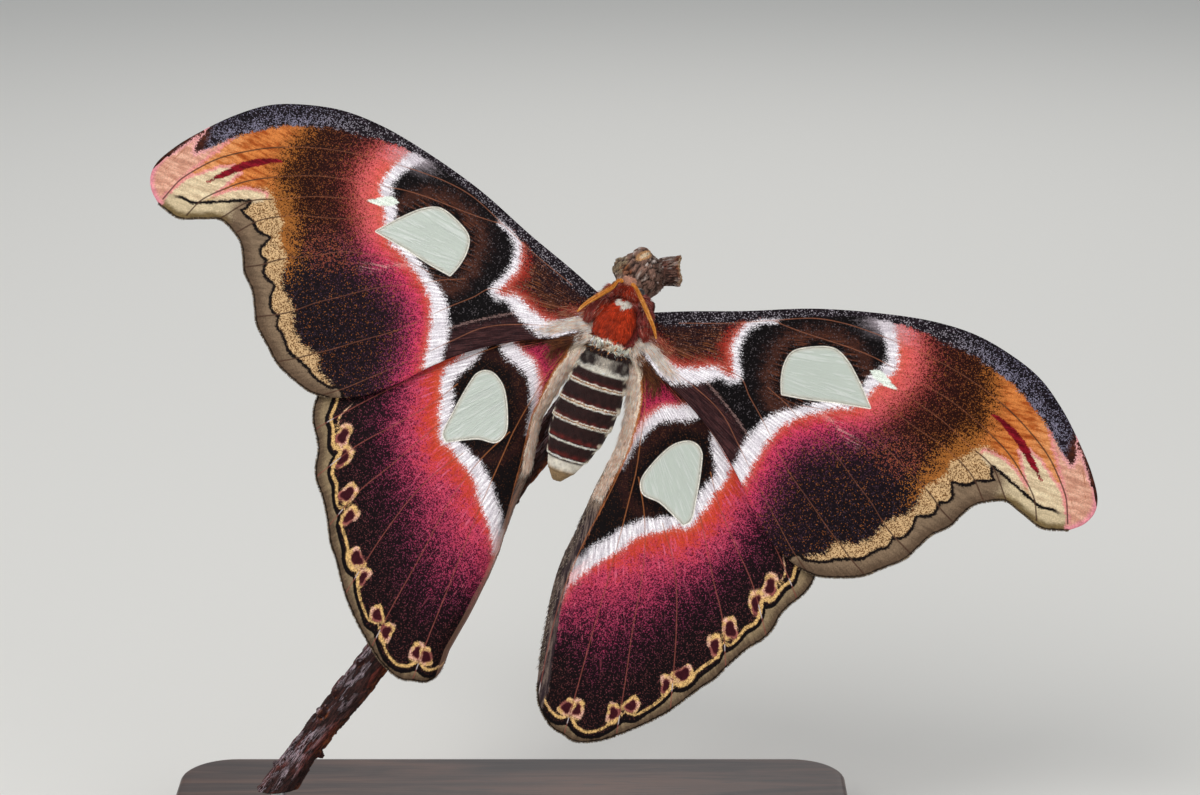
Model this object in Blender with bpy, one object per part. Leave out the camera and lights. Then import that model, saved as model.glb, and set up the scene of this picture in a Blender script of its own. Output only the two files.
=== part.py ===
"""A life-size atlas moth, wings spread, gripping a short cut twig that one rod holds above a flat base.

Units are metres, +Z up, with the origin at the middle of the base's underside. Lengths marked mm are
multiplied by MM. The wings are drawn flat first, out from the body (u) and towards the head (v), and
then laid on one curved surface, so that both wings of a side and their panes fit together.
"""

import math

import bmesh
import bpy
from mathutils import Matrix, Vector, geometry

MM = 0.001
GAP = 0.3  # mm kept between neighbouring pieces

# How the animal is held
LEAN = math.radians(15)  # the wings lean back from upright
TILT = math.radians(19.2)  # the head turns this far clockwise from straight up
ROLL = math.radians(5.5)  # the back turns a little to the viewer's left
THORAX_AT = (25.0, 9.0, 124.0)  # mm, the middle of the thorax above the base's underside
FOREWING_TURN = math.radians(-0.6)

# Wings, mm
MEMBRANE = 0.5
VEIN_HEIGHT = 0.2
VEIN_HALF_WIDTH = 0.45
HINGE_HEIGHT = 1.0
WING_SEPARATION = 0.9  # each wing's distance from the surface midway between the two
DIHEDRAL = math.radians(3)
APEX_DROOP = 3.0
APEX_DROOP_FROM = 70.0
TAIL_DROOP = 0.0015
TAIL_DROOP_FROM = -40.0
WAVE = 0.45
WAVES = 14
CURL_WIDTH = 9.0
CURL_NEAR = {-1: 0.125, 1: 0.03}  # per mm beside the abdomen: the left inner margin is rolled back more
CURL_FAR = {-1: 0.215, 1: 0.03}  # per mm past the abdomen's end

FOREWING_COSTA = [
    (3.0, -0.4), (12.4, 3.4), (23.9, 7.6), (37.7, 13.1), (51.2, 16.9), (62.0, 19.0), (71.1, 19.4), (79.0, 18.1),
    (87.0, 15.4), (93.6, 10.9), (99.5, 5.4), (104.2, 0.2), (107.2, -4.6), (107.5, -7.6), (106.2, -10.4),
    (103.6, -12.7),
]
FOREWING_TERMEN = [
    (103.6, -12.7), (98.1, -14.1), (93.0, -12.6), (88.9, -11.4), (86.2, -12.4), (83.2, -14.4), (81.5, -17.0),
    (80.0, -20.2), (76.9, -23.4), (75.0, -26.9), (73.5, -29.8), (69.3, -33.7), (66.5, -36.2), (61.6, -38.4),
    (57.0, -39.6), (53.2, -39.4),
]
FOREWING_DORSUM = [
    (53.2, -39.4), (47.2, -37.0), (41.0, -32.2), (34.4, -25.4), (27.6, -19.7), (20.7, -15.4), (14.7, -12.5),
    (9.2, -10.6), (3.0, -9.2),
]
FOREWING_PANE = [
    [(37.5, -6.1), (36.5, -3.6), (35.9, 0.0), (36.6, 2.9), (40.1, 5.2), (44.5, 6.5), (47.6, 5.3), (51.9, 1.6),
     (55.8, -2.6)],
    [(55.8, -2.6), (49.3, -3.8), (42.3, -5.3), (37.5, -6.1)],
]
FOREWING_VEINS = [
    [(10, -0.2), (20, 3.2), (31, 7.4), (45, 11.6), (56, 12.0), (66, 11.2), (74, 9.6), (82, 7.0), (88, 4.0),
     (94, 0.0), (99.5, -5.5), (103, -10)],
    [(50, 6.6), (57, 7.0), (64, 5.8), (72, 4.2), (80, 1.2), (86, -1.9), (90.2, -5.0), (94, -9.5)],
    [(58, -0.6), (62, -1.9), (68, -3.7), (75, -6.0), (81, -8.8), (84.5, -12.0)],
    [(43, -8.0), (52, -7.2), (62, -9.2), (68, -12.2), (74, -15.1), (79.5, -18.6)],
    [(37, -8.6), (41, -10.0), (47, -12.6), (55, -16.0), (62.5, -20.2), (68.6, -25.2), (73, -29.0)],
    [(9, -4.4), (20, -5.0), (28.5, -7.0), (35.7, -13.0), (44.9, -21.2), (51.1, -25.5), (57.3, -29.8), (66, -35.4)],
    [(10, -8.2), (20, -11.6), (27, -15.4), (33, -19.8), (39, -25.2), (45, -30.4), (51, -35.2), (55, -38.2)],
]
HINDWING_DORSUM = [
    (3.0, -13.0), (5.6, -14.0), (6.8, -17.0), (7.4, -22.0), (7.7, -28.0), (7.1, -33.0), (6.3, -38.0), (5.9, -43.0),
    (5.5, -48.0), (4.8, -53.0), (4.6, -58.0), (5.0, -63.5), (5.7, -68.0), (6.6, -74.0), (8.1, -81.5),
]
HINDWING_TERMEN = [
    (8.1, -81.5), (9.8, -85.4), (11.8, -87.6), (14.5, -89.4), (17.1, -89.9), (19.7, -90.5), (24.5, -88.7),
    (30.1, -84.3), (36.1, -78.3), (41.3, -70.8), (43.6, -67.8), (45.4, -64.1), (48.0, -59.6), (50.5, -56.5),
    (51.7, -53.8), (52.3, -50.3), (53.5, -47.8), (55.3, -45.0), (56.3, -42.0), (56.4, -39.0),
]
HINDWING_COSTA = [
    (56.4, -39.0), (55.4, -35.0), (52.5, -29.0), (46.0, -22.5), (38.0, -16.8), (28.0, -12.2), (18.0, -9.4),
    (9.0, -7.6), (3.0, -6.8),
]
HINDWING_PANE = [
    [(26.7, -39.4), (23.0, -37.5), (20.3, -36.4), (16.6, -35.9), (15.4, -33.6), (16.6, -29.1), (19.0, -24.6),
     (20.7, -23.1), (22.3, -22.4), (24.0, -22.6), (25.3, -23.8), (26.0, -26.0), (27.3, -33.0), (27.8, -38.2),
     (26.7, -39.4)],
]
HINDWING_VEINS = [
    [(6.7, -12.5), (8.4, -17), (9.8, -22), (10.6, -28), (10.2, -35), (9.4, -42), (8.6, -48), (8, -56),
     (8, -64), (8.6, -73), (9.8, -82)],
    [(8.8, -12.4), (11.2, -19), (12.6, -26), (13.2, -34), (14, -42), (14.4, -50), (15, -59), (15.8, -69),
     (16.6, -79), (17, -88)],
    [(16.8, -38.2), (18.7, -42), (20.7, -48), (22.2, -56), (23.8, -64), (25.6, -73), (27.6, -84.0)],
    [(23.4, -41.2), (26.7, -46), (30.2, -53), (33.2, -61), (35, -69), (36.2, -75.6)],
    [(30.2, -36.4), (33.2, -42), (37.2, -49), (41.7, -56), (46.2, -61)],
    [(28.6, -26.4), (33.2, -32.6), (39.2, -39.4), (45.2, -46), (50.7, -52.4)],
    [(9.2, -9.6), (17.2, -12.6), (24.2, -17.6), (31.2, -23.4), (41.2, -31.4), (53.2, -41)],
]

# Body, mm: each station is (v, half width, half depth, height of its middle)
THORAX_STATIONS = [
    (1.7, 2.4, 2.8, -0.6), (0.9, 3.6, 3.7, -0.4), (-0.6, 4.8, 4.8, -0.2), (-2.4, 5.8, 5.6, -0.1),
    (-4.4, 6.3, 6.0, -0.1), (-6.4, 6.0, 5.8, -0.2), (-8.0, 5.3, 5.2, -0.3), (-9.2, 4.3, 4.4, -0.4),
]
HEAD_STATIONS = [
    (1.2, 2.8, 2.7, -0.8), (2.3, 3.1, 2.9, -0.9), (3.5, 2.7, 2.6, -1.0), (4.7, 2.1, 2.1, -1.1), (5.7, 1.5, 1.5, -1.3),
    (6.3, 0.8, 0.8, -1.4),
]
ABDOMEN_FROM = -9.7
ABDOMEN_RINGS = [-14.0, -17.4, -21.8, -25.9, -30.2, -33.8, -37.2]  # the hind rim of each segment
ABDOMEN_PROFILE = [
    (-9.7, 4.0), (-11.0, 4.9), (-14.0, 5.8), (-17.4, 6.4), (-21.8, 6.8), (-25.9, 6.6), (-30.2, 5.8), (-33.8, 4.6),
    (-37.2, 2.9), (-39.3, 1.3),
]
ABDOMEN_FLATTEN = 0.93
ABDOMEN_SAG = -1.6
ABDOMEN_BEND = -1.9  # its tail swings to the left
RIM_STEP = 0.28
EYE_RADIUS = 1.3
EYE_AT = (2.5, 3.7, -1.9)
TEGULA_HALF = (1.9, 3.5, 1.7)
TEGULA_AT = (5.4, -1.9, 2.9)
TEGULA_FLOOR = 2.55
ANTENNA_PATH = [(1.3, 5.1, 0.6), (2.0, 4.7, 2.4), (3.6, 2.9, 4.6), (5.6, 0.3, 5.6), (7.6, -2.2, 5.1), (8.8, -4.2, 4.0)]
ANTENNA_RADIUS = 0.34
RAMUS_LENGTH = 1.35
RAMUS_HALF_THICK = 0.26
RAMI = 11
RAMUS_SLANT = math.radians(70)  # the comb is turned this far out of the wings' plane
PALP = ((0.75, 5.5, -2.3), (0.6, 1.0, 0.7))

# Twig, mm, in the display frame: x across, y up the lean, z towards the viewer
TWIG_PATH = [
    (-80.9, -111.5, -14.5), (-75.9, -105.0, -14.5), (-67.3, -92.9, -14.3), (-58.7, -82.2, -14.1), (-39.7, -57.4, -13.6),
    (-20.4, -32.8, -13.2), (-6.6, -13.5, -13.0), (1.5, 0.5, -13.0), (4.0, 6.0, -13.0),
]
TWIG_RADIUS_FOOT = 3.55
TWIG_RADIUS_TOP = 3.3
TWIG_CUT_BELOW = 103.5  # mm straight down from the thorax
KNOB_AT = (3.4, 7.1, -13.2)
KNOB_HALF = (5.4, 5.2, 4.9)
STUB_PATH = [(4.6, 7.2, -13.2), (8.8, 8.0, -13.1), (12.2, 8.3, -13.0)]
STUB_RADIUS = 3.0
STUB_RIM = 3.25
BUDS = [(0.06, 100, 1.0), (0.13, 15, 0.9), (0.17, 120, 1.3), (0.24, 250, 0.9), (0.31, 70, 1.1), (0.47, 200, 1.0),
        (0.62, 100, 0.9)]  # (share of the twig's length, degrees round it, radius)

# Legs, mm: (name, where on the body, how far up the twig it grips, length of the stretched toe)
LEGS = [
    ("front", (2.0, 0.6, -4.6), (5.4, 3.0, -7.2), 0.6),
    ("middle", (2.6, -3.2, -5.4), (6.6, -2.6, -8.2), -4.8),
    ("hind", (2.4, -6.6, -5.2), (6.4, -9.0, -8.0), -11.0),
]
LEG_RADII = (1.05, 0.95, 0.75, 0.6, 0.5, 0.42)
TOE_TURN = math.radians(74)  # how far round the twig the toes reach behind its flank

# Stand, mm
BASE_SIZE = (150.0, 84.0, 10.0)
BASE_CORNER = 12.0
BASE_BEVEL = 1.2
ROD_RADIUS = 1.6

COLOURS = {
    "wing_scales": ((0.16, 0.03, 0.045, 1), 0.75, 0.0),
    "wing_pane": ((0.70, 0.78, 0.70, 1), 0.25, 0.0),
    "red_fur": ((0.42, 0.07, 0.02, 1), 0.9, 0.0),
    "abdomen_fur": ((0.09, 0.05, 0.04, 1), 0.9, 0.0),
    "antenna": ((0.72, 0.33, 0.05, 1), 0.6, 0.0),
    "eye": ((0.02, 0.012, 0.01, 1), 0.2, 0.0),
    "leg": ((0.14, 0.03, 0.02, 1), 0.8, 0.0),
    "bark": ((0.10, 0.045, 0.03, 1), 0.85, 0.0),
    "base_wood": ((0.06, 0.03, 0.018, 1), 0.45, 0.0),
    "rod_metal": ((0.55, 0.55, 0.56, 1), 0.35, 1.0),
}


def clear_scene():
    for obj in list(bpy.data.objects):
        bpy.data.objects.remove(obj)


def material(name):
    found = bpy.data.materials.get(name)
    if found:
        return found
    colour, roughness, metallic = COLOURS[name]
    made = bpy.data.materials.new(name)
    made.use_nodes = True
    shader = made.node_tree.nodes["Principled BSDF"]
    shader.inputs["Base Color"].default_value = colour
    shader.inputs["Roughness"].default_value = roughness
    shader.inputs["Metallic"].default_value = metallic
    return made


def add_object(name, points, faces, parent=None, slot=None):
    """A mesh object from points in mm."""
    mesh = bpy.data.meshes.new(name)
    mesh.from_pydata([Vector(p) * MM for p in points], [], faces)
    mesh.update()
    obj = bpy.data.objects.new(name, mesh)
    bpy.context.scene.collection.objects.link(obj)
    obj.parent = parent
    if slot:
        mesh.materials.append(material(slot))
    return obj


def add_empty(name, parent=None):
    obj = bpy.data.objects.new(name, None)
    bpy.context.scene.collection.objects.link(obj)
    obj.parent = parent
    return obj


def smooth_path(points, spacing, closed=False):
    """Points about `spacing` apart on a centripetal Catmull-Rom curve through `points`."""
    ends = [Vector(p) for p in points]
    if closed:
        ends = [ends[-1], *ends, ends[0], ends[1]]
    else:
        ends = [ends[0] * 2 - ends[1], *ends, ends[-1] * 2 - ends[-2]]
    made = []
    for a, b, c, d in zip(ends, ends[1:], ends[2:], ends[3:]):
        t0 = 0.0
        t1 = t0 + (b - a).length ** 0.5
        t2 = t1 + (c - b).length ** 0.5
        t3 = t2 + (d - c).length ** 0.5
        steps = max(1, round((c - b).length / spacing))
        for k in range(steps):
            t = t1 + (t2 - t1) * k / steps
            ab = a * ((t1 - t) / (t1 - t0)) + b * ((t - t0) / (t1 - t0))
            bc = b * ((t2 - t) / (t2 - t1)) + c * ((t - t1) / (t2 - t1))
            cd = c * ((t3 - t) / (t3 - t2)) + d * ((t - t2) / (t3 - t2))
            abc = ab * ((t2 - t) / (t2 - t0)) + bc * ((t - t0) / (t2 - t0))
            bcd = bc * ((t3 - t) / (t3 - t1)) + cd * ((t - t1) / (t3 - t1))
            made.append(abc * ((t2 - t) / (t2 - t1)) + bcd * ((t - t1) / (t2 - t1)))
    if not closed:
        made.append(Vector(points[-1]))
    return made


def loop_of(curves, spacing):
    """One closed outline from open curves that meet end to end, each meeting a corner."""
    outline = []
    for curve in curves:
        outline += smooth_path(curve, spacing)[:-1]
    if (Vector(curves[-1][-1]) - Vector(curves[0][0])).length > 1e-6:
        outline.append(Vector(curves[-1][-1]))
    return outline


def inside(point, outline):
    found = False
    for a, b in zip(outline, outline[1:] + outline[:1]):
        if (a.y > point.y) != (b.y > point.y):
            if point.x < a.x + (b.x - a.x) * (point.y - a.y) / (b.y - a.y):
                found = not found
    return found


def distance_to_loop(point, outline):
    nearest = 1e9
    for a, b in zip(outline, outline[1:] + outline[:1]):
        on, share = geometry.intersect_point_line(point, a, b)
        share = min(1.0, max(0.0, share))
        nearest = min(nearest, (a.lerp(b, share) - point).length)
    return nearest


def inset(outline, distance):
    """The closed outline moved inwards by `distance`."""
    turn = sum(a.x * b.y - b.x * a.y for a, b in zip(outline, outline[1:] + outline[:1]))
    way = 1.0 if turn > 0 else -1.0
    made = []
    for before, at, after in zip(outline[-1:] + outline[:-1], outline, outline[1:] + outline[:1]):
        along = ((at - before).normalized() + (after - at).normalized()).normalized()
        made.append(at + Vector((-along.y, along.x)) * distance * way)
    return [p for p in made if inside(p, outline)]


def midway_height(u, v):
    """The height of the curved surface between a side's two wings."""
    height = HINGE_HEIGHT - u * math.tan(DIHEDRAL)
    height -= APEX_DROOP * max(0.0, (u - APEX_DROOP_FROM) / 37.0) ** 2
    height -= TAIL_DROOP * max(0.0, TAIL_DROOP_FROM - v) ** 2
    reach = math.hypot(u, v) / 100.0
    return height + WAVE * reach ** 2 * math.sin(WAVES * math.atan2(v, u))


def inner_margin(v):
    """How far out the hindwing's inner edge lies at v."""
    edge = HINDWING_DORSUM[1:]
    if v >= edge[0][1]:
        return edge[0][0]
    for (u0, v0), (u1, v1) in zip(edge, edge[1:]):
        if v >= v1:
            return u0 + (u1 - u0) * (v0 - v) / (v0 - v1)
    return edge[-1][0]


def on_forewing(u, v, side, rise):
    return Vector((side * u, v, midway_height(u, v) + WING_SEPARATION + rise))


def on_hindwing(u, v, side, rise):
    """Like on_forewing, with the strip along the body rolled back."""
    height = midway_height(u, v) - WING_SEPARATION
    fold = inner_margin(v) + CURL_WIDTH
    beside = min(1.0, max(0.0, (-14.0 - v) / 14.0))
    past = min(1.0, max(0.0, (-38.0 - v) / 16.0))
    bend = beside * (CURL_NEAR[side] + (CURL_FAR[side] - CURL_NEAR[side]) * past)
    if u < fold and bend > 0:
        radius = 1.0 / bend
        angle = (fold - u) / radius
        u = fold - (radius - rise) * math.sin(angle)
        height -= (radius - rise) * (1 - math.cos(angle))
    return Vector((side * u, v, height + rise))


def vein_lines(curve, outline, holes):
    """The crest and the two feet of a vein, kept clear of the edges: rows of (left, crest, right)."""
    rows = []
    spine = smooth_path(curve, 4.6)
    for k, at in enumerate(spine):
        along = (spine[min(k + 1, len(spine) - 1)] - spine[max(k - 1, 0)]).normalized()
        across = Vector((-along.y, along.x)) * VEIN_HALF_WIDTH
        near = min(distance_to_loop(at, loop) for loop in [outline, *holes])
        if inside(at, outline) and near > 1.1:
            rows.append((at + across, at, at - across))
    return rows


def wing_net(outline, holes, veins, spacing, rolled=None):
    """Triangles of the flat wing, finer nearer the body than `rolled`: points, which are a vein's crest, faces."""
    points = []
    edges = []
    crests = set()

    def add_loop(loop):
        first = len(points)
        points.extend(loop)
        edges.extend((first + k, first + (k + 1) % len(loop)) for k in range(len(loop)))

    for loop in [outline, *holes]:
        add_loop(loop)
    for curve in veins:
        rows = vein_lines(curve, outline, holes)
        first = len(points)
        points.append(rows[0][1])
        for row in rows[1:-1]:
            crests.add(len(points) + 1)
            points.extend(row)
        last = len(points)
        points.append(rows[-1][1])
        middle = [first + 1 + 3 * k for k in range(len(rows) - 2)]
        for lane in range(3):
            chain = [first, *[m + lane for m in middle], last]
            edges.extend(zip(chain, chain[1:]))
    low = Vector((min(p.x for p in outline), min(p.y for p in outline)))
    high = Vector((max(p.x for p in outline), max(p.y for p in outline)))
    fixed = list(points)

    def fill(step, from_u, to_u):
        row = 0
        v = low.y + step / 2
        while v < high.y:
            u = from_u + step * (0.25 + 0.5 * (row % 2))
            while u < to_u:
                at = Vector((u, v))
                clear = all((at - p).length > 0.55 * step for p in fixed)
                if clear and inside(at, outline) and not any(inside(at, hole) for hole in holes):
                    points.append(at)
                u += step
            v += step * 0.87
            row += 1

    if rolled:
        fill(spacing * 0.45, low.x, rolled)
    fill(spacing, rolled or low.x, high.x)
    flat, _, faces, from_points, _, _ = geometry.delaunay_2d_cdt(points, edges, [], 0, 1e-6)
    kept = []
    for face in faces:
        middle = sum((flat[k] for k in face), Vector((0, 0))) / 3
        if inside(middle, outline) and not any(inside(middle, hole) for hole in holes):
            kept.append(tuple(face))
    raised = [any(k in crests for k in came) for came in from_points]
    return flat, raised, kept


def plate(name, net, place, side, parent, slot):
    """A closed plate on the curved wing surface, alike on both faces, with the veins raised on both."""
    flat, raised, faces = net
    used = sorted({k for face in faces for k in face})
    index = {k: n for n, k in enumerate(used)}
    rises = [MEMBRANE / 2 + (VEIN_HEIGHT if raised[k] else 0.0) for k in used]
    points = [place(flat[k].x, flat[k].y, side, rise) for k, rise in zip(used, rises)]
    points += [place(flat[k].x, flat[k].y, side, -rise) for k, rise in zip(used, rises)]
    count = len(used)
    top = [tuple(index[k] for k in face) for face in faces]
    if side < 0:
        top = [face[::-1] for face in top]
    sides = {}
    for face in top:
        for a, b in zip(face, face[1:] + face[:1]):
            sides[(a, b)] = True
    rim = [(a, b) for a, b in sides if (b, a) not in sides]
    solid = list(top)
    solid += [tuple(k + count for k in face[::-1]) for face in top]
    for a, b in rim:
        solid += [(b, a, a + count), (b, a + count, b + count)]
    return add_object(name, points, solid, parent, slot)


def rings_solid(name, rings, parent=None, slot=None):
    """A closed body through rings of points, with a point closing each end."""
    count = len(rings[0])
    points = [p for ring in rings for p in ring]
    faces = []
    for row in range(len(rings) - 1):
        for k in range(count):
            a = row * count + k
            b = row * count + (k + 1) % count
            faces.append((a, b, b + count, a + count))
    first, last = len(points), len(points) + 1
    points.append(sum((Vector(p) for p in rings[0]), Vector()) / count)
    points.append(sum((Vector(p) for p in rings[-1]), Vector()) / count)
    end = (len(rings) - 1) * count
    for k in range(count):
        faces.append((first, (k + 1) % count, k))
        faces.append((last, end + k, end + (k + 1) % count))
    obj = add_object(name, points, faces, parent, slot)
    outward(obj)
    return obj


def outward(obj):
    mesh = bmesh.new()
    mesh.from_mesh(obj.data)
    bmesh.ops.recalc_face_normals(mesh, faces=mesh.faces)
    mesh.to_mesh(obj.data)
    mesh.free()


def smooth(obj, degrees=40):
    obj.data.shade_smooth()
    obj.data.set_sharp_from_angle(angle=math.radians(degrees))


def body_rings(stations, extra, sides):
    """Rings across the body, each station grown by `extra`."""
    rings = []
    for v, half_width, half_depth, middle in stations:
        ring = []
        share = max(0.0, (ABDOMEN_FROM - v) / (ABDOMEN_FROM - ABDOMEN_PROFILE[-1][0]))
        for k in range(sides):
            angle = 2 * math.pi * k / sides
            x = ABDOMEN_BEND * share ** 1.6 + (half_width + extra) * math.cos(angle)
            z = middle + (half_depth + extra) * math.sin(angle)
            ring.append((x, v, z))
        rings.append(ring)
    return rings


def grown(stations, extra):
    """Stations with both ends moved out by `extra`, so that a grown copy clears the ends too."""
    if not extra:
        return stations
    step = extra if stations[0][0] > stations[-1][0] else -extra
    first, last = stations[0], stations[-1]
    return [(first[0] + step, *first[1:]), *stations, (last[0] - step, *last[1:])]


def tube(name, path, radii, sides, parent=None, slot=None, start_round=True):
    """A round tube along a path of Vectors, its radius read from `radii` in even steps."""
    rings = []
    side_way = None
    for k, at in enumerate(path):
        along = (path[min(k + 1, len(path) - 1)] - path[max(k - 1, 0)]).normalized()
        if side_way is None:
            side_way = along.orthogonal().normalized()
        side_way = (side_way - along * side_way.dot(along)).normalized()
        other = along.cross(side_way)
        share = k / (len(path) - 1) * (len(radii) - 1)
        low = min(int(share), len(radii) - 2)
        radius = radii[low] + (radii[low + 1] - radii[low]) * (share - low)
        rings.append([
            at + (side_way * math.cos(a) + other * math.sin(a)) * radius
            for a in (2 * math.pi * n / sides for n in range(sides))
        ])
    if start_round:
        tip = path[-1] + (path[-1] - path[-2]).normalized() * radii[-1] * 0.5
        middle = path[-1]
        rings.append([middle.lerp(p, 0.6) + (tip - middle) for p in map(Vector, rings[-1])])
    return rings_solid(name, rings, parent, slot)


def ellipsoid(name, at, half, turn=None, segments=16, rings=10, parent=None, slot=None):
    mesh = bpy.data.meshes.new(name)
    shape = bmesh.new()
    bmesh.ops.create_uvsphere(shape, u_segments=segments, v_segments=rings, radius=1.0)
    place = Matrix.Translation(Vector(at) * MM) @ (turn or Matrix()) @ Matrix.Diagonal((*(Vector(half) * MM), 1))
    bmesh.ops.transform(shape, matrix=place, verts=shape.verts)
    shape.to_mesh(mesh)
    shape.free()
    obj = bpy.data.objects.new(name, mesh)
    bpy.context.scene.collection.objects.link(obj)
    obj.parent = parent
    if slot:
        mesh.materials.append(material(slot))
    return obj


def apply_modifiers(obj):
    bpy.context.view_layer.update()
    shaped = obj.evaluated_get(bpy.context.evaluated_depsgraph_get())
    mesh = bpy.data.meshes.new_from_object(shaped)
    obj.modifiers.clear()
    obj.data = mesh


def keep_largest_body(obj):
    """Deletes every closed surface of the mesh but the largest."""
    mesh = bmesh.new()
    mesh.from_mesh(obj.data)
    mesh.faces.ensure_lookup_table()
    left = set(mesh.faces)
    bodies = []
    while left:
        stack = [left.pop()]
        body = []
        while stack:
            face = stack.pop()
            body.append(face)
            for edge in face.edges:
                for other in edge.link_faces:
                    if other in left:
                        left.remove(other)
                        stack.append(other)
        bodies.append(body)
    bodies.sort(key=lambda body: -sum(face.calc_area() for face in body))
    for body in bodies[1:]:
        bmesh.ops.delete(mesh, geom=body, context="FACES")
    mesh.to_mesh(obj.data)
    mesh.free()


def join(obj, others):
    """Fuses closed mesh objects into obj and removes them."""
    group = bpy.data.collections.new(obj.name + "_pieces")
    for other in others:
        group.objects.link(other)
    fuse = obj.modifiers.new("fuse", "BOOLEAN")
    fuse.operation = "UNION"
    fuse.operand_type = "COLLECTION"
    fuse.collection = group
    apply_modifiers(obj)
    for other in others:
        bpy.data.objects.remove(other)
    bpy.data.collections.remove(group)
    keep_largest_body(obj)


def cut(obj, *cutters):
    """Takes the cutters out of obj and leaves them in the scene."""
    for cutter in cutters:
        take = obj.modifiers.new("clear " + cutter.name, "BOOLEAN")
        take.operation = "DIFFERENCE"
        take.object = cutter
    apply_modifiers(obj)
    keep_largest_body(obj)


def as_cutter(obj):
    obj.hide_render = True
    obj.display_type = "WIRE"
    return obj


def make_wings(moth, thorax_room, abdomen_room):
    """Four wings with their clear panes."""
    fore_outline = loop_of([FOREWING_COSTA, FOREWING_TERMEN, FOREWING_DORSUM], 2.6)
    fore_hole = loop_of(FOREWING_PANE, 2.4)
    fore_net = wing_net(fore_outline, [fore_hole], FOREWING_VEINS, 8.5)
    fore_pane = inset(fore_hole, GAP)
    fore_pane_net = wing_net(fore_pane, [], [], 5.0)
    hind_outline = loop_of([HINDWING_DORSUM, HINDWING_TERMEN, HINDWING_COSTA], 2.6)
    hind_hole = loop_of(HINDWING_PANE, 2.4)
    hind_net = wing_net(hind_outline, [hind_hole], HINDWING_VEINS, 8.5, rolled=17.0)
    hind_pane = inset(hind_hole, GAP)
    hind_pane_net = wing_net(hind_pane, [], [], 5.0)
    for side, word in ((-1, "left"), (1, "right")):
        fore = plate(f"forewing_{word}", fore_net, on_forewing, side, moth, "wing_scales")
        pane = plate(f"forewing_pane_{word}", fore_pane_net, on_forewing, side, moth, "wing_pane")
        for obj in (fore, pane):
            obj.rotation_euler = (0, 0, FOREWING_TURN)
        cut(fore, thorax_room)
        hind = plate(f"hindwing_{word}", hind_net, on_hindwing, side, moth, "wing_scales")
        plate(f"hindwing_pane_{word}", hind_pane_net, on_hindwing, side, moth, "wing_pane")
        cut(hind, thorax_room, abdomen_room)


def make_thorax(name, moth, extra=0.0):
    obj = rings_solid(name, body_rings(grown(THORAX_STATIONS, extra), extra, 22), moth, "red_fur")
    smooth(obj)
    return obj


def make_head(moth, thorax_room):
    head = rings_solid("head", body_rings(HEAD_STATIONS, 0, 18), moth, "red_fur")
    at, half = PALP
    palps = [ellipsoid(f"palp_{side}", (side * at[0], at[1], at[2]), half, None, 10, 7, moth) for side in (-1, 1)]
    join(head, palps)
    sockets = []
    for side, word in ((-1, "left"), (1, "right")):
        eye_at = (side * EYE_AT[0], EYE_AT[1], EYE_AT[2])
        room = [EYE_RADIUS + GAP] * 3
        sockets.append(as_cutter(ellipsoid(f"eye_room_{word}", eye_at, room, None, 18, 12, moth)))
        eye = ellipsoid(f"eye_{word}", eye_at, [EYE_RADIUS] * 3, None, 16, 10, moth, "eye")
        smooth(eye)
    cut(head, thorax_room, *sockets)
    smooth(head)
    return head


def abdomen_rings(extra, sides):
    """Rings of the abdomen: each segment swells towards its hind rim and steps down behind it."""
    profile = smooth_path([(v, w) for v, w in ABDOMEN_PROFILE], 1.0)

    def half_width(v):
        for a, b in zip(profile, profile[1:]):
            if v >= b.x:
                return a.y + (b.y - a.y) * (a.x - v) / max(a.x - b.x, 1e-9)
        return profile[-1].y

    places = [(ABDOMEN_FROM, 0.0)]
    start = ABDOMEN_FROM
    for rim in ABDOMEN_RINGS:
        places += [(start + 0.5 * (rim - start), RIM_STEP * 0.4), (rim, RIM_STEP), (rim - 0.35, -RIM_STEP * 0.4)]
        start = rim - 0.35
    places += [(-38.4, 0.0), (-39.3, 0.0)]
    end = ABDOMEN_PROFILE[-1][0]
    stations = []
    for v, step in places:
        share = (ABDOMEN_FROM - v) / (ABDOMEN_FROM - end)
        half = half_width(v) + step
        stations.append((v, half, half * ABDOMEN_FLATTEN, -0.4 + ABDOMEN_SAG * share ** 1.5))
    return body_rings(grown(stations, extra), extra, sides)


def make_abdomen(moth, thorax_room):
    abdomen = rings_solid("abdomen", abdomen_rings(0, 24), moth, "abdomen_fur")
    cut(abdomen, thorax_room)
    smooth(abdomen, 25)
    return abdomen


def make_tegulae(moth, thorax_room):
    """The pair of furred flaps over the wings' roots."""
    for side, word in ((-1, "left"), (1, "right")):
        turn = Matrix.Rotation(side * math.radians(20), 4, "Z") @ Matrix.Rotation(side * math.radians(34), 4, "Y")
        at = (side * TEGULA_AT[0], TEGULA_AT[1], TEGULA_AT[2])
        flap = ellipsoid(f"tegula_{word}", at, TEGULA_HALF, turn, 18, 12, moth, "red_fur")
        shape = bmesh.new()
        shape.from_mesh(flap.data)
        whole = shape.verts[:] + shape.edges[:] + shape.faces[:]
        floor = Vector((0, 0, TEGULA_FLOOR * MM))
        sliced = bmesh.ops.bisect_plane(shape, geom=whole, plane_co=floor, plane_no=(0, 0, -1), clear_outer=True)
        rim = [e for e in sliced["geom_cut"] if isinstance(e, bmesh.types.BMEdge)]
        bmesh.ops.holes_fill(shape, edges=rim, sides=0)
        shape.to_mesh(flap.data)
        shape.free()
        cut(flap, thorax_room)
        smooth(flap)


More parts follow.
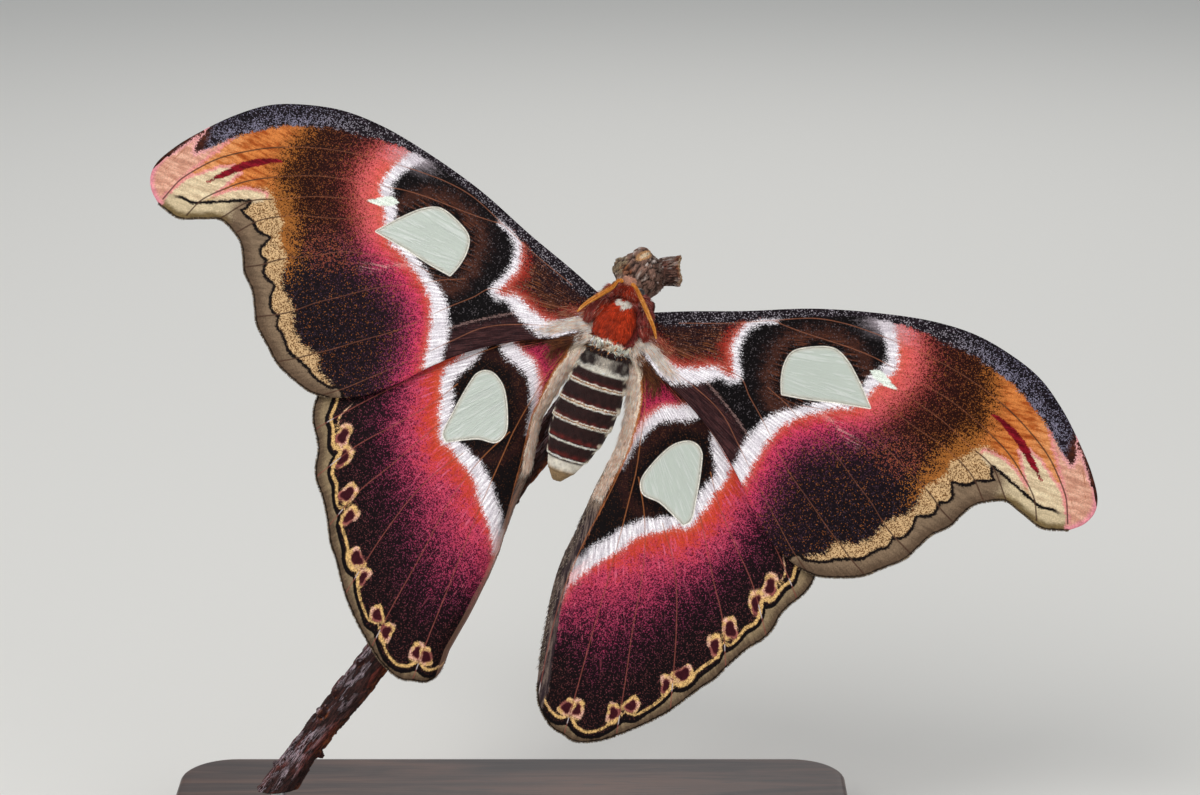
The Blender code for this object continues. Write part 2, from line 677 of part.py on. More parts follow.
def make_antennae(moth, head_room):
    """A tapering shaft with a row of slanting teeth on each side."""
    for side, word in ((-1, "left"), (1, "right")):
        spine = smooth_path([(side * x, y, z) for x, y, z in ANTENNA_PATH], 1.0)
        shaft = tube(f"antenna_{word}", spine, (ANTENNA_RADIUS, ANTENNA_RADIUS, 0.27), 6, moth, "antenna")
        teeth = []
        for k in range(RAMI):
            for row in (-1, 1):
                share = (k + 1.8 + 0.2 * row) / (RAMI + 1.6)
                place = share * (len(spine) - 1)
                low = min(int(place), len(spine) - 2)
                at = spine[low].lerp(spine[low + 1], place - low)
                along = (spine[low + 1] - spine[low]).normalized()
                flat = along.cross(Vector((0, 0, 1))).normalized()
                up = flat.cross(along)
                length = RAMUS_LENGTH * (0.55 + 0.45 * math.sin(math.pi * min(1.0, 0.25 + 0.75 * share)))
                out = flat * math.cos(RAMUS_SLANT) * row * side + up * math.sin(RAMUS_SLANT) * row
                if row * out.z < 0:
                    out.z = -out.z
                way = (out + along * 0.45).normalized()
                wide = way.cross(along).normalized() * RAMUS_HALF_THICK
                thick = way.cross(wide).normalized() * RAMUS_HALF_THICK
                root = at - way * 0.1
                tip = at + way * length
                ring = [root + wide + thick, root - wide + thick, root - wide - thick, root + wide - thick]
                small = [tip + (p - root) * 0.62 for p in ring]
                teeth.append(rings_solid(f"ramus_{word}_{k}_{row}", [ring, small], moth))
        join(shaft, teeth)
        cut(shaft, head_room)


def on_twig(moth_from_display, v, angle, clear):
    """The point at `clear` from the twig's axis, level with v on the body; angle 0 is its right flank, then behind."""
    path = [moth_from_display @ Vector(p) for p in TWIG_PATH]
    for a, b in zip(path, path[1:]):
        if a.y <= v <= b.y:
            at = a.lerp(b, (v - a.y) / (b.y - a.y))
            along = (b - a).normalized()
            break
    side_way = (Vector((1, 0, 0)) - along * along.x).normalized()
    back = along.cross(side_way).normalized()
    if back.z > 0:
        back = -back
    return at + (side_way * math.cos(angle) + back * math.sin(angle)) * clear


def make_legs(moth, moth_from_display, thorax_room, twig_room):
    """Six legs that reach round the twig and hold it from both flanks."""
    hold = TWIG_RADIUS_TOP + 0.2 + GAP + LEG_RADII[-1] + 0.15
    for name, root, knee, grip in LEGS:
        for side, word in ((-1, "left"), (1, "right")):
            start = Vector((side * root[0], root[1], root[2]))
            bend = Vector((side * knee[0], knee[1], knee[2]))
            centre = on_twig(moth_from_display, grip, 0, 0)
            bend.x += centre.x * 0.8

            def around(turn, rise, clear=hold):
                angle = turn if side > 0 else math.pi - turn
                return on_twig(moth_from_display, grip + rise, angle, clear)

            ankle = around(math.radians(-12), 0.0, hold + 0.5)
            points = [start, bend, ankle, around(TOE_TURN * 0.35, 0.5), around(TOE_TURN * 0.7, 0.9),
                      around(TOE_TURN, 1.2)]
            leg = tube(f"leg_{name}_{word}", smooth_path(points, 1.1), LEG_RADII, 8, moth, "leg")
            cut(leg, thorax_room, twig_room)
            smooth(leg)


def twig_tube(name, display, extra):
    path = smooth_path(TWIG_PATH, 6.0)
    radii = []
    for k in range(len(path)):
        share = k / (len(path) - 1)
        wave = 0.16 * math.sin(9.0 * share * math.pi) + 0.08 * math.sin(23.0 * share + 1.0)
        radii.append(TWIG_RADIUS_FOOT + (TWIG_RADIUS_TOP - TWIG_RADIUS_FOOT) * share + wave + extra)
    return tube(name, path, radii, 14, display, "bark", start_round=False)


def make_twig(display):
    """The cut twig: a stem with buds, a swollen knob at its head and a sawn side stub."""
    twig = twig_tube("perch_twig", display, 0)
    path = smooth_path(TWIG_PATH, 6.0)
    pieces = [ellipsoid("knob", KNOB_AT, KNOB_HALF, Matrix.Rotation(math.radians(-35), 4, "Z"), 14, 9, display)]
    stub = smooth_path(STUB_PATH, 2.0)
    pieces.append(tube("stub", stub, (STUB_RADIUS, STUB_RADIUS, STUB_RIM), 14, display, None, start_round=False))
    pieces.append(ellipsoid("scar", (3.6, 11.4, -12.0), (2.4, 1.7, 2.2), Matrix.Rotation(0.4, 4, "Z"), 10, 7, display))
    pieces.append(ellipsoid("burl", (-1.0, 9.0, -12.4), (2.0, 2.6, 2.4), None, 10, 7, display))
    for n, (share, degrees, radius) in enumerate(BUDS):
        place = share * (len(path) - 1)
        low = int(place)
        at = path[low].lerp(path[low + 1], place - low)
        along = (path[low + 1] - path[low]).normalized()
        turn = Matrix.Rotation(math.radians(degrees), 3, along)
        out = turn @ along.orthogonal().normalized()
        pieces.append(ellipsoid(f"bud_{n}", at + out * (TWIG_RADIUS_FOOT - 0.25), (radius, radius, radius), None, 9, 6,
                                display))
    join(twig, pieces)
    shape = bmesh.new()
    shape.from_mesh(twig.data)
    up = Vector((0, math.cos(LEAN), math.sin(LEAN)))
    whole = shape.verts[:] + shape.edges[:] + shape.faces[:]
    sliced = bmesh.ops.bisect_plane(
        shape, geom=whole, plane_co=up * -TWIG_CUT_BELOW * MM, plane_no=-up, clear_outer=True
    )
    rim = [e for e in sliced["geom_cut"] if isinstance(e, bmesh.types.BMEdge)]
    bmesh.ops.holes_fill(shape, edges=rim, sides=0)
    shape.to_mesh(twig.data)
    shape.free()
    smooth(twig)
    return twig


def twig_foot():
    """Where the twig's axis meets its level cut, in the world, mm."""
    tilt = Matrix.Rotation(math.pi / 2 - LEAN, 3, "X")
    path = [Vector(THORAX_AT) + tilt @ p for p in smooth_path(TWIG_PATH, 6.0)]
    level = THORAX_AT[2] - TWIG_CUT_BELOW
    for a, b in zip(path, path[1:]):
        if a.z <= level <= b.z:
            return a.lerp(b, (level - a.z) / (b.z - a.z))
    raise ValueError("the twig doesn't reach its cut")


def make_stand():
    """A round-cornered slab and one upright rod."""
    length, depth, thick = BASE_SIZE
    outline = []
    for cx, cy, start in ((1, 1, 0), (-1, 1, 90), (-1, -1, 180), (1, -1, 270)):
        for step in range(7):
            angle = math.radians(start + 15 * step)
            x = cx * (length / 2 - BASE_CORNER) + BASE_CORNER * math.cos(angle)
            y = cy * (depth / 2 - BASE_CORNER) + BASE_CORNER * math.sin(angle)
            outline.append((x, y))
    count = len(outline)
    points = [(x, y, 0) for x, y in outline] + [(x, y, thick) for x, y in outline]
    faces = [tuple(range(count))[::-1], tuple(range(count, 2 * count))]
    faces += [(k, (k + 1) % count, (k + 1) % count + count, k + count) for k in range(count)]
    base = add_object("stand_base", points, faces, None, "base_wood")
    shape = bmesh.new()
    shape.from_mesh(base.data)
    top_edges = [e for e in shape.edges if all(v.co.z > 0.9 * thick * MM for v in e.verts)]
    bmesh.ops.bevel(shape, geom=top_edges, offset=BASE_BEVEL * MM, segments=2, affect="EDGES", profile=0.5)
    shape.to_mesh(base.data)
    shape.free()
    smooth(base, 30)
    foot = twig_foot()
    low = Vector((foot.x, foot.y, thick + GAP))
    high = Vector((foot.x, foot.y, foot.z - GAP))
    path = [low.lerp(high, k / 2) for k in range(3)]
    rod = tube("stand_rod", path, (ROD_RADIUS, ROD_RADIUS), 20, None, "rod_metal", start_round=False)
    smooth(rod)


def main():
    clear_scene()
    display = add_empty("display_frame")
    display.location = Vector(THORAX_AT) * MM
    display.rotation_euler = (math.pi / 2 - LEAN, 0, 0)
    moth = add_empty("moth_frame", display)
    moth.rotation_euler = (0, -ROLL, -TILT)
    bpy.context.view_layer.update()
    moth_from_display = (Matrix.Rotation(-TILT, 3, "Z") @ Matrix.Rotation(-ROLL, 3, "Y")).inverted()

    thorax_room = as_cutter(make_thorax("thorax_room", moth, GAP))
    abdomen_room = as_cutter(rings_solid("abdomen_room", abdomen_rings(GAP, 24), moth))
    head_room = as_cutter(rings_solid("head_room", body_rings(grown(HEAD_STATIONS, GAP), GAP, 18), moth))
    twig_room = as_cutter(twig_tube("twig_room", display, GAP))
    make_thorax("thorax", moth)
    make_head(moth, thorax_room)
    make_abdomen(moth, thorax_room)
    make_tegulae(moth, thorax_room)
    make_antennae(moth, head_room)
    make_wings(moth, thorax_room, abdomen_room)
    make_legs(moth, moth_from_display, thorax_room, twig_room)
    make_twig(display)
    make_stand()


main()
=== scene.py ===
import math

import bmesh
import bpy
import numpy as np
from mathutils import Matrix, Vector, geometry, noise


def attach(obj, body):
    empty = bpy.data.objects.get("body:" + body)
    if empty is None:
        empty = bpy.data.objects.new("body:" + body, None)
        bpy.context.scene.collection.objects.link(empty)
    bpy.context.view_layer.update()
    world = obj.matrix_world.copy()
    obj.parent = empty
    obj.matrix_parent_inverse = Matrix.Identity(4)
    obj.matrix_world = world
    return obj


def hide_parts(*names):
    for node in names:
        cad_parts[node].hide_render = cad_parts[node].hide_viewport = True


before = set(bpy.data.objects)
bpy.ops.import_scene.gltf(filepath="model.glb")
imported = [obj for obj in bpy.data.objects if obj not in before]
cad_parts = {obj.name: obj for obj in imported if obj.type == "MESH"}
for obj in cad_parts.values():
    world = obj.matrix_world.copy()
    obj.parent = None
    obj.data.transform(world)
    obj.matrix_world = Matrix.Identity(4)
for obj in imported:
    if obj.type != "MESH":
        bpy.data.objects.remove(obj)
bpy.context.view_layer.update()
print("frame loaded")

mm = 0.001
sides = {-1: "left", 1: "right"}  # the viewer's left and right
rng = np.random.default_rng(7)

# how the moth is held, in degrees: it leans back on the twig, its head is turned clockwise
pose = {
    "thoraxAt": (25.0, 9.0, 124.0),
    "leanBack": 15.0,
    "headTurn": 19.2,
    "roll": 5.5,
    "forewingTurn": -0.6,
}


def turnBy(degrees, axis):
    return Matrix.Rotation(math.radians(degrees), 4, axis)


displayFrame = Matrix.Translation(pose["thoraxAt"]) @ turnBy(90 - pose["leanBack"], "X")
mothFrame = displayFrame @ turnBy(-pose["headTurn"], "Z") @ turnBy(-pose["roll"], "Y")
forewingFrame = mothFrame @ turnBy(pose["forewingTurn"], "Z")


def toWorld(points, matrix):
    # millimetres in one of the frames above become metres in the world
    return (np.asarray(points, float) @ np.array(matrix.to_3x3()).T + np.array(matrix.translation)) * mm


def toLocal(obj, matrix):
    # a mesh's points in one of those frames, in millimetres
    points = np.empty(len(obj.data.vertices) * 3, np.float32)
    obj.data.vertices.foreach_get("co", points)
    back = matrix.inverted()
    return (points.reshape(-1, 3) / mm) @ np.array(back.to_3x3()).T + np.array(back.translation)


def normalsOf(obj, matrix):
    normals = np.empty(len(obj.data.vertices) * 3, np.float32)
    obj.data.vertices.foreach_get("normal", normals)
    return normals.reshape(-1, 3) @ np.array(matrix.inverted().to_3x3()).T


def unit(vectors):
    return vectors / np.maximum(np.linalg.norm(vectors, axis=1, keepdims=True), 1e-9)


def noiseAt(points):
    return np.array([noise.noise(Vector(p)) for p in points])


def smoothPath(points, spacing):
    # a centripetal curve through the points, like the one the solids use
    given = [Vector(p) for p in points]
    ends = [given[0] * 2 - given[1], *given, given[-1] * 2 - given[-2]]
    made = []
    for a, b, c, d in zip(ends, ends[1:], ends[2:], ends[3:]):
        t1 = (b - a).length ** 0.5
        t2 = t1 + (c - b).length ** 0.5
        t3 = t2 + (d - c).length ** 0.5
        steps = max(1, round((c - b).length / spacing))
        for k in range(steps):
            t = t1 + (t2 - t1) * k / steps
            ab = a * ((t1 - t) / t1) + b * (t / t1)
            bc = b * ((t2 - t) / (t2 - t1)) + c * ((t - t1) / (t2 - t1))
            cd = c * ((t3 - t) / (t3 - t2)) + d * ((t - t2) / (t3 - t2))
            abc = ab * ((t2 - t) / t2) + bc * (t / t2)
            bcd = bc * ((t3 - t) / (t3 - t1)) + cd * ((t - t1) / (t3 - t1))
            made.append(abc * ((t2 - t) / (t2 - t1)) + bcd * ((t - t1) / (t2 - t1)))
    made.append(given[-1])
    return np.array([tuple(p) for p in made])


def loopOf(curves, spacing):
    # curves that meet end to end become one closed outline with its corners kept
    parts = [smoothPath(curve, spacing)[:-1] for curve in curves]
    return np.concatenate(parts)


def nearCurve(points, curve, closed=False):
    # distance to a curve, which side of it (left of its way is positive) and the share of its length
    ends = np.roll(curve, -1, axis=0) if closed else curve[1:]
    starts = curve if closed else curve[:-1]
    runs = np.concatenate([[0.0], np.cumsum(np.linalg.norm(ends - starts, axis=1))])
    best = np.full(len(points), 1e9)
    side = np.zeros(len(points))
    share = np.zeros(len(points))
    for k, (a, b) in enumerate(zip(starts, ends)):
        way = b - a
        length = max(float(np.hypot(*way)), 1e-9)
        along = np.clip((points - a) @ way / length ** 2, 0, 1)
        away = points - a - along[:, None] * way
        distance = np.hypot(away[:, 0], away[:, 1])
        turn = way[0] * (points[:, 1] - a[1]) - way[1] * (points[:, 0] - a[0])
        closer = distance < best - 1e-7
        best = np.where(closer, distance, best)
        side = np.where(closer, np.sign(turn), side)
        share = np.where(closer, (runs[k] + along * length) / runs[-1], share)
    return best, side, share


def insideLoop(points, loop):
    found = np.zeros(len(points), bool)
    for a, b in zip(loop, np.roll(loop, -1, axis=0)):
        crosses = (a[1] > points[:, 1]) != (b[1] > points[:, 1])
        if a[1] != b[1]:
            at = a[0] + (b[0] - a[0]) * (points[:, 1] - a[1]) / (b[1] - a[1])
            found ^= crosses & (points[:, 0] < at)
    return found


def depthInside(points, loop):
    # distance to an outline, positive inside it
    return nearCurve(points, loop, closed=True)[0] * np.where(insideLoop(points, loop), 1.0, -1.0)


def signedLine(points, curve, towards):
    # distance to a line, positive on the side where the point `towards` lies
    distance, side, _ = nearCurve(np.concatenate([points, [towards]]), curve)
    return (distance * side * side[-1])[:-1]


def band(points, curve, halfWidths):
    # positive inside a stroke whose half width changes evenly along it
    distance, _, share = nearCurve(points, curve)
    return np.interp(share, np.linspace(0, 1, len(halfWidths)), halfWidths) - distance


def rising(values, low, high):
    t = np.clip((values - low) / (high - low), 0, 1)
    return t * t * (3 - 2 * t)


# the wings' flat outlines in millimetres and the surface they lie on, as in the solids
wingShape = {
    "costa": [(3.0, -0.4), (12.4, 3.4), (23.9, 7.6), (37.7, 13.1), (51.2, 16.9), (62.0, 19.0), (71.1, 19.4),
              (79.0, 18.1), (87.0, 15.4), (93.6, 10.9), (99.5, 5.4), (104.2, 0.2), (107.2, -4.6),
              (107.5, -7.6), (106.2, -10.4), (103.6, -12.7)],
    "termen": [(103.6, -12.7), (98.1, -14.1), (93.0, -12.6), (88.9, -11.4), (86.2, -12.4), (83.2, -14.4),
               (81.5, -17.0), (80.0, -20.2), (76.9, -23.4), (75.0, -26.9), (73.5, -29.8), (69.3, -33.7),
               (66.5, -36.2), (61.6, -38.4), (57.0, -39.6), (53.2, -39.4)],
    "dorsum": [(53.2, -39.4), (47.2, -37.0), (41.0, -32.2), (34.4, -25.4), (27.6, -19.7), (20.7, -15.4),
               (14.7, -12.5), (9.2, -10.6), (3.0, -9.2)],
    "pane": [[(37.5, -6.1), (36.5, -3.6), (35.9, 0.0), (36.6, 2.9), (40.1, 5.2), (44.5, 6.5), (47.6, 5.3),
              (51.9, 1.6), (55.8, -2.6)],
             [(55.8, -2.6), (49.3, -3.8), (42.3, -5.3), (37.5, -6.1)]],
    "hindDorsum": [(3.0, -13.0), (5.6, -14.0), (6.8, -17.0), (7.4, -22.0), (7.7, -28.0), (7.1, -33.0),
                   (6.3, -38.0), (5.9, -43.0), (5.5, -48.0), (4.8, -53.0), (4.6, -58.0), (5.0, -63.5),
                   (5.7, -68.0), (6.6, -74.0), (8.1, -81.5)],
    "hindTermen": [(8.1, -81.5), (9.8, -85.4), (11.8, -87.6), (14.5, -89.4), (17.1, -89.9), (19.7, -90.5),
                   (24.5, -88.7), (30.1, -84.3), (36.1, -78.3), (41.3, -70.8), (43.6, -67.8), (45.4, -64.1),
                   (48.0, -59.6), (50.5, -56.5), (51.7, -53.8), (52.3, -50.3), (53.5, -47.8), (55.3, -45.0),
                   (56.3, -42.0), (56.4, -39.0)],
    "hindCosta": [(56.4, -39.0), (55.4, -35.0), (52.5, -29.0), (46.0, -22.5), (38.0, -16.8), (28.0, -12.2),
                  (18.0, -9.4), (9.0, -7.6), (3.0, -6.8)],
    "hindPane": [[(26.7, -39.4), (23.0, -37.5), (20.3, -36.4), (16.6, -35.9), (15.4, -33.6), (16.6, -29.1),
                  (19.0, -24.6), (20.7, -23.1), (22.3, -22.4), (24.0, -22.6), (25.3, -23.8), (26.0, -26.0),
                  (27.3, -33.0), (27.8, -38.2), (26.7, -39.4)]],
    "netSpacing": 0.5,
    "halfThick": 0.15,
    "veinRise": (0.13, 0.28),  # height and half width
    "ripple": (0.05, 0.55, 0.47),
    "rimThin": 0.35,  # the part of the thickness left at the rim
    "hingeHeight": 1.0,
    "rootBehind": 4.0,  # the rays of scales start this far behind the hinge
    "separation": 0.9,
    "dihedral": 3.0,
    "apexDroop": (3.0, 70.0, 37.0),  # how much, from where and over what length
    "tailDroop": (0.0015, 40.0),
    "wave": (0.45, 14),  # height and how many round the root
    "curlWidth": 9.0,
    "curlStart": (14.0, 14.0),  # how far back the inner edge starts to roll, and over what length
    "curlChange": (38.0, 16.0),
    "curlNear": {-1: 0.125, 1: 0.03},
    "curlFar": {-1: 0.215, 1: 0.03},
}


def midwayHeight(u, v):
    amount, start, length = wingShape["apexDroop"]
    tail, tailStart = wingShape["tailDroop"]
    wave, waves = wingShape["wave"]
    height = wingShape["hingeHeight"] - u * math.tan(math.radians(wingShape["dihedral"]))
    height = height - amount * (np.maximum(0, u - start) / length) ** 2
    height = height - tail * np.maximum(0, -tailStart - v) ** 2
    reach = np.hypot(u, v) / 100.0
    return height + wave * reach ** 2 * np.sin(waves * np.arctan2(v, u))


def innerRim(v):
    # where the hindwing's inner edge runs
    edge = np.array(wingShape["hindDorsum"][1:])
    return np.interp(-v, -edge[:, 1], edge[:, 0])


def onForewing(u, v, side, rise):
    return np.stack([side * u, v, midwayHeight(u, v) + wingShape["separation"] + rise], axis=1)


def onHindwing(u, v, side, rise):
    # the strip along the abdomen is rolled back
    height = midwayHeight(u, v) - wingShape["separation"]
    fold = innerRim(v) + wingShape["curlWidth"]
    beside, past = (np.clip((-start - v) / length, 0, 1)
                    for start, length in (wingShape["curlStart"], wingShape["curlChange"]))
    near, far = wingShape["curlNear"][side], wingShape["curlFar"][side]
    bend = beside * (near + (far - near) * past)
    rolled = (u < fold) & (bend > 0)
    radius = 1.0 / np.where(rolled, bend, 1.0)
    angle = np.where(rolled, (fold - u) / radius, 0.0)
    outward = np.where(rolled, fold - (radius - rise) * np.sin(angle), u)
    height = height - np.where(rolled, (radius - rise) * (1 - np.cos(angle)), 0.0)
    return np.stack([side * outward, v, height + rise], axis=1)


# the wings' markings: lines on the flat wing, in millimetres out from the body and towards the head
foreMarks = {
    "am": [(31.6, 11.4), (30.7, 8.4), (28.8, 7.5), (26.6, 5.8), (25.4, 3.6), (25.0, 0.9), (25.7, -2.2),
           (27.0, -4.8), (27.6, -6.4), (26.2, -6.9), (23.8, -6.6), (21.6, -7.2), (18.4, -9.0), (14.8, -9.9),
           (12.2, -9.5), (9.5, -7.3), (7.3, -6.0), (3.0, -5.0)],
    "amHalf": [1.3, 0.9, 0.8, 0.9, 0.9, 0.8, 0.9, 1.5, 1.7, 1.8, 1.7, 1.6, 1.5],
    "pm": [(52.0, 19.0), (52.9, 15.5), (54.6, 13.1), (56.2, 10.5), (57.0, 7.3), (55.8, 4.7), (54.0, 1.6),
           (53.2, -0.6), (52.0, -2.6), (49.5, -3.9), (46.7, -5.4), (43.2, -7.7), (39.4, -10.6), (37.1, -13.8),
           (35.7, -17.6), (35.0, -21.2), (34.4, -25.5), (34.0, -30.0)],
    "pmHalf": [2.6, 1.6, 1.2, 1.3, 1.3, 1.2, 1.0, 1.0, 1.2, 1.7, 2.0, 2.0, 1.9, 1.9],
    "costal": [(3.0, -1.6), (11.9, -0.1), (20.0, 3.3), (30.3, 8.2), (44.6, 13.7), (50.8, 15.5),
               (61.1, 16.0), (65.2, 15.6), (71.4, 15.3), (77.6, 13.6), (81.8, 12.3), (84.6, 10.9),
               (88.1, 8.9), (90.3, 7.5), (92.3, 6.1), (94.4, 4.2), (96.6, 2.3), (98.2, 0.9), (99.4, 0.0),
               (100.2, 1.4), (99.6, 3.2), (98.9, 4.7), (100.3, 4.0), (102.3, 1.4), (104.2, -1.2)],
    "window2": [(53.1, 4.8), (55.2, 5.7), (57.0, 4.7), (60.0, 2.9), (57.3, 2.7), (54.4, 3.6)],
    "streak": [(80.6, 4.8), (83.4, 3.8), (86.0, 2.5), (88.6, 0.7), (91.1, -1.5), (94.8, -4.8)],
    "streakHalf": [0.3, 0.7, 0.85, 0.8, 0.6, 0.15],
    "pinkTip": [(92.6, 5.4), (94.4, 2.2), (95.9, 0.1), (97.6, -2.5), (99.2, -4.9), (101.0, -8.0),
                (103.0, -12.9)],
    # the cream lobes under the streak and either side of its end
    "lobes": [[(81.2, -2.9), (83.5, -2.8), (86.0, -3.2), (88.5, -4.5), (91.0, -6.1), (92.8, -7.9),
               (93.6, -9.8), (89.3, -8.4), (85.9, -6.9), (83.4, -6.0), (81.0, -4.6)],
              [(88.3, -0.6), (90.0, -3.2), (91.7, -6.0), (93.3, -8.6), (94.6, -10.6), (97.0, -10.9),
               (100.0, -10.4), (102.8, -12.2), (101.4, -8.6), (99.6, -5.8), (97.2, -3.8), (94.8, -2.2),
               (92.4, -0.5), (90.3, 0.4)]],
    "tipLines": [[(99.4, -1.8), (101.5, -5.2), (102.7, -8.6)], [(102.0, 0.6), (103.8, -3.0), (104.7, -5.4)]],
    "wavy": [(106.0, -10.6), (103.4, -9.6), (100.5, -9.8), (98.6, -9.7), (96.2, -9.9), (93.8, -9.1),
             (91.5, -8.2), (88.7, -7.1), (85.8, -6.0), (84.0, -5.5), (84.5, -7.1), (85.2, -7.9),
             (82.1, -9.5), (80.9, -10.6), (79.6, -11.2), (77.3, -11.5), (77.9, -13.0), (78.5, -14.3),
             (77.8, -15.7), (76.4, -16.3), (76.2, -18.2), (75.0, -19.7), (72.7, -20.8), (72.7, -22.6),
             (72.2, -24.8), (70.7, -26.5), (69.6, -26.7), (69.2, -28.7), (67.1, -30.5), (65.4, -32.5),
             (63.9, -33.6), (62.4, -33.8), (60.3, -34.9), (58.0, -36.1), (54.4, -37.2), (51.8, -36.9),
             (49.0, -40.0)],
    "flash": [(46.5, -6.6), (50.5, -8.4), (55.7, -10.5)],
    "beige": [(100.0, -9.0), (92.0, -6.0), (86.0, -3.0), (81.5, -2.2), (79.1, -3.8), (77.3, -5.8),
              (75.4, -7.6), (75.4, -10.7), (73.3, -13.2), (72.2, -14.9), (71.9, -18.2), (71.0, -20.2),
              (70.0, -21.7), (66.8, -24.2), (66.0, -26.8), (63.7, -29.8), (61.7, -31.0), (58.6, -31.5),
              (57.8, -33.2), (57.0, -34.7), (54.4, -36.2), (48.0, -39.5)],
    "veins": [
        [(12.0, 0.6), (22.0, 4.2), (30.3, 7.8), (38.5, 11.2), (44.6, 12.3), (50.8, 12.5), (56.9, 12.3),
         (65.2, 11.6), (73.4, 10.1), (81.7, 7.5), (88.1, 4.5), (94.5, 0.4), (99.9, -5.2), (101.0, -6.8),
         (103.0, -11.5)],
        [(30.3, 7.8), (36.4, 7.6), (47.6, 7.9), (52.8, 7.7), (56.9, 7.1), (63.0, 6.1), (71.3, 4.5),
         (79.6, 1.5), (86.0, -1.6), (90.2, -4.7), (94.5, -8.8), (96.6, -13.0)],
        [(56.2, 1.0), (60.9, -1.5), (67.1, -3.5), (73.3, -5.1), (80.6, -8.7), (84.6, -12.8)],
        [(42.0, -7.0), (46.5, -6.3), (50.6, -6.4), (54.7, -7.5), (60.9, -9.0), (67.0, -12.1), (73.2, -15.0),
         (77.3, -17.8), (80.3, -19.3)],
        [(34.2, -5.8), (39.3, -7.9), (43.4, -10.2), (46.4, -11.4), (52.5, -14.5), (58.7, -18.6),
         (62.7, -21.2), (67.9, -25.3), (74.3, -28.6)],
        [(9.0, -4.4), (20.0, -5.2), (28.1, -5.8), (31.1, -8.8), (35.1, -12.3), (39.2, -16.2), (44.3, -21.0),
         (50.4, -25.3), (56.5, -29.7), (59.6, -31.7), (62.7, -33.8), (66.6, -36.0)],
        [(8.0, -7.6), (20.4, -11.2), (27.0, -14.3), (32.0, -18.8), (38.5, -25.2), (45.0, -31.2),
         (51.0, -36.6), (54.6, -39.2)],
        [(58.0, 3.9), (64.0, 2.0), (71.0, 0.0), (78.0, -3.0), (84.0, -5.5), (89.0, -11.0)],
    ],
}

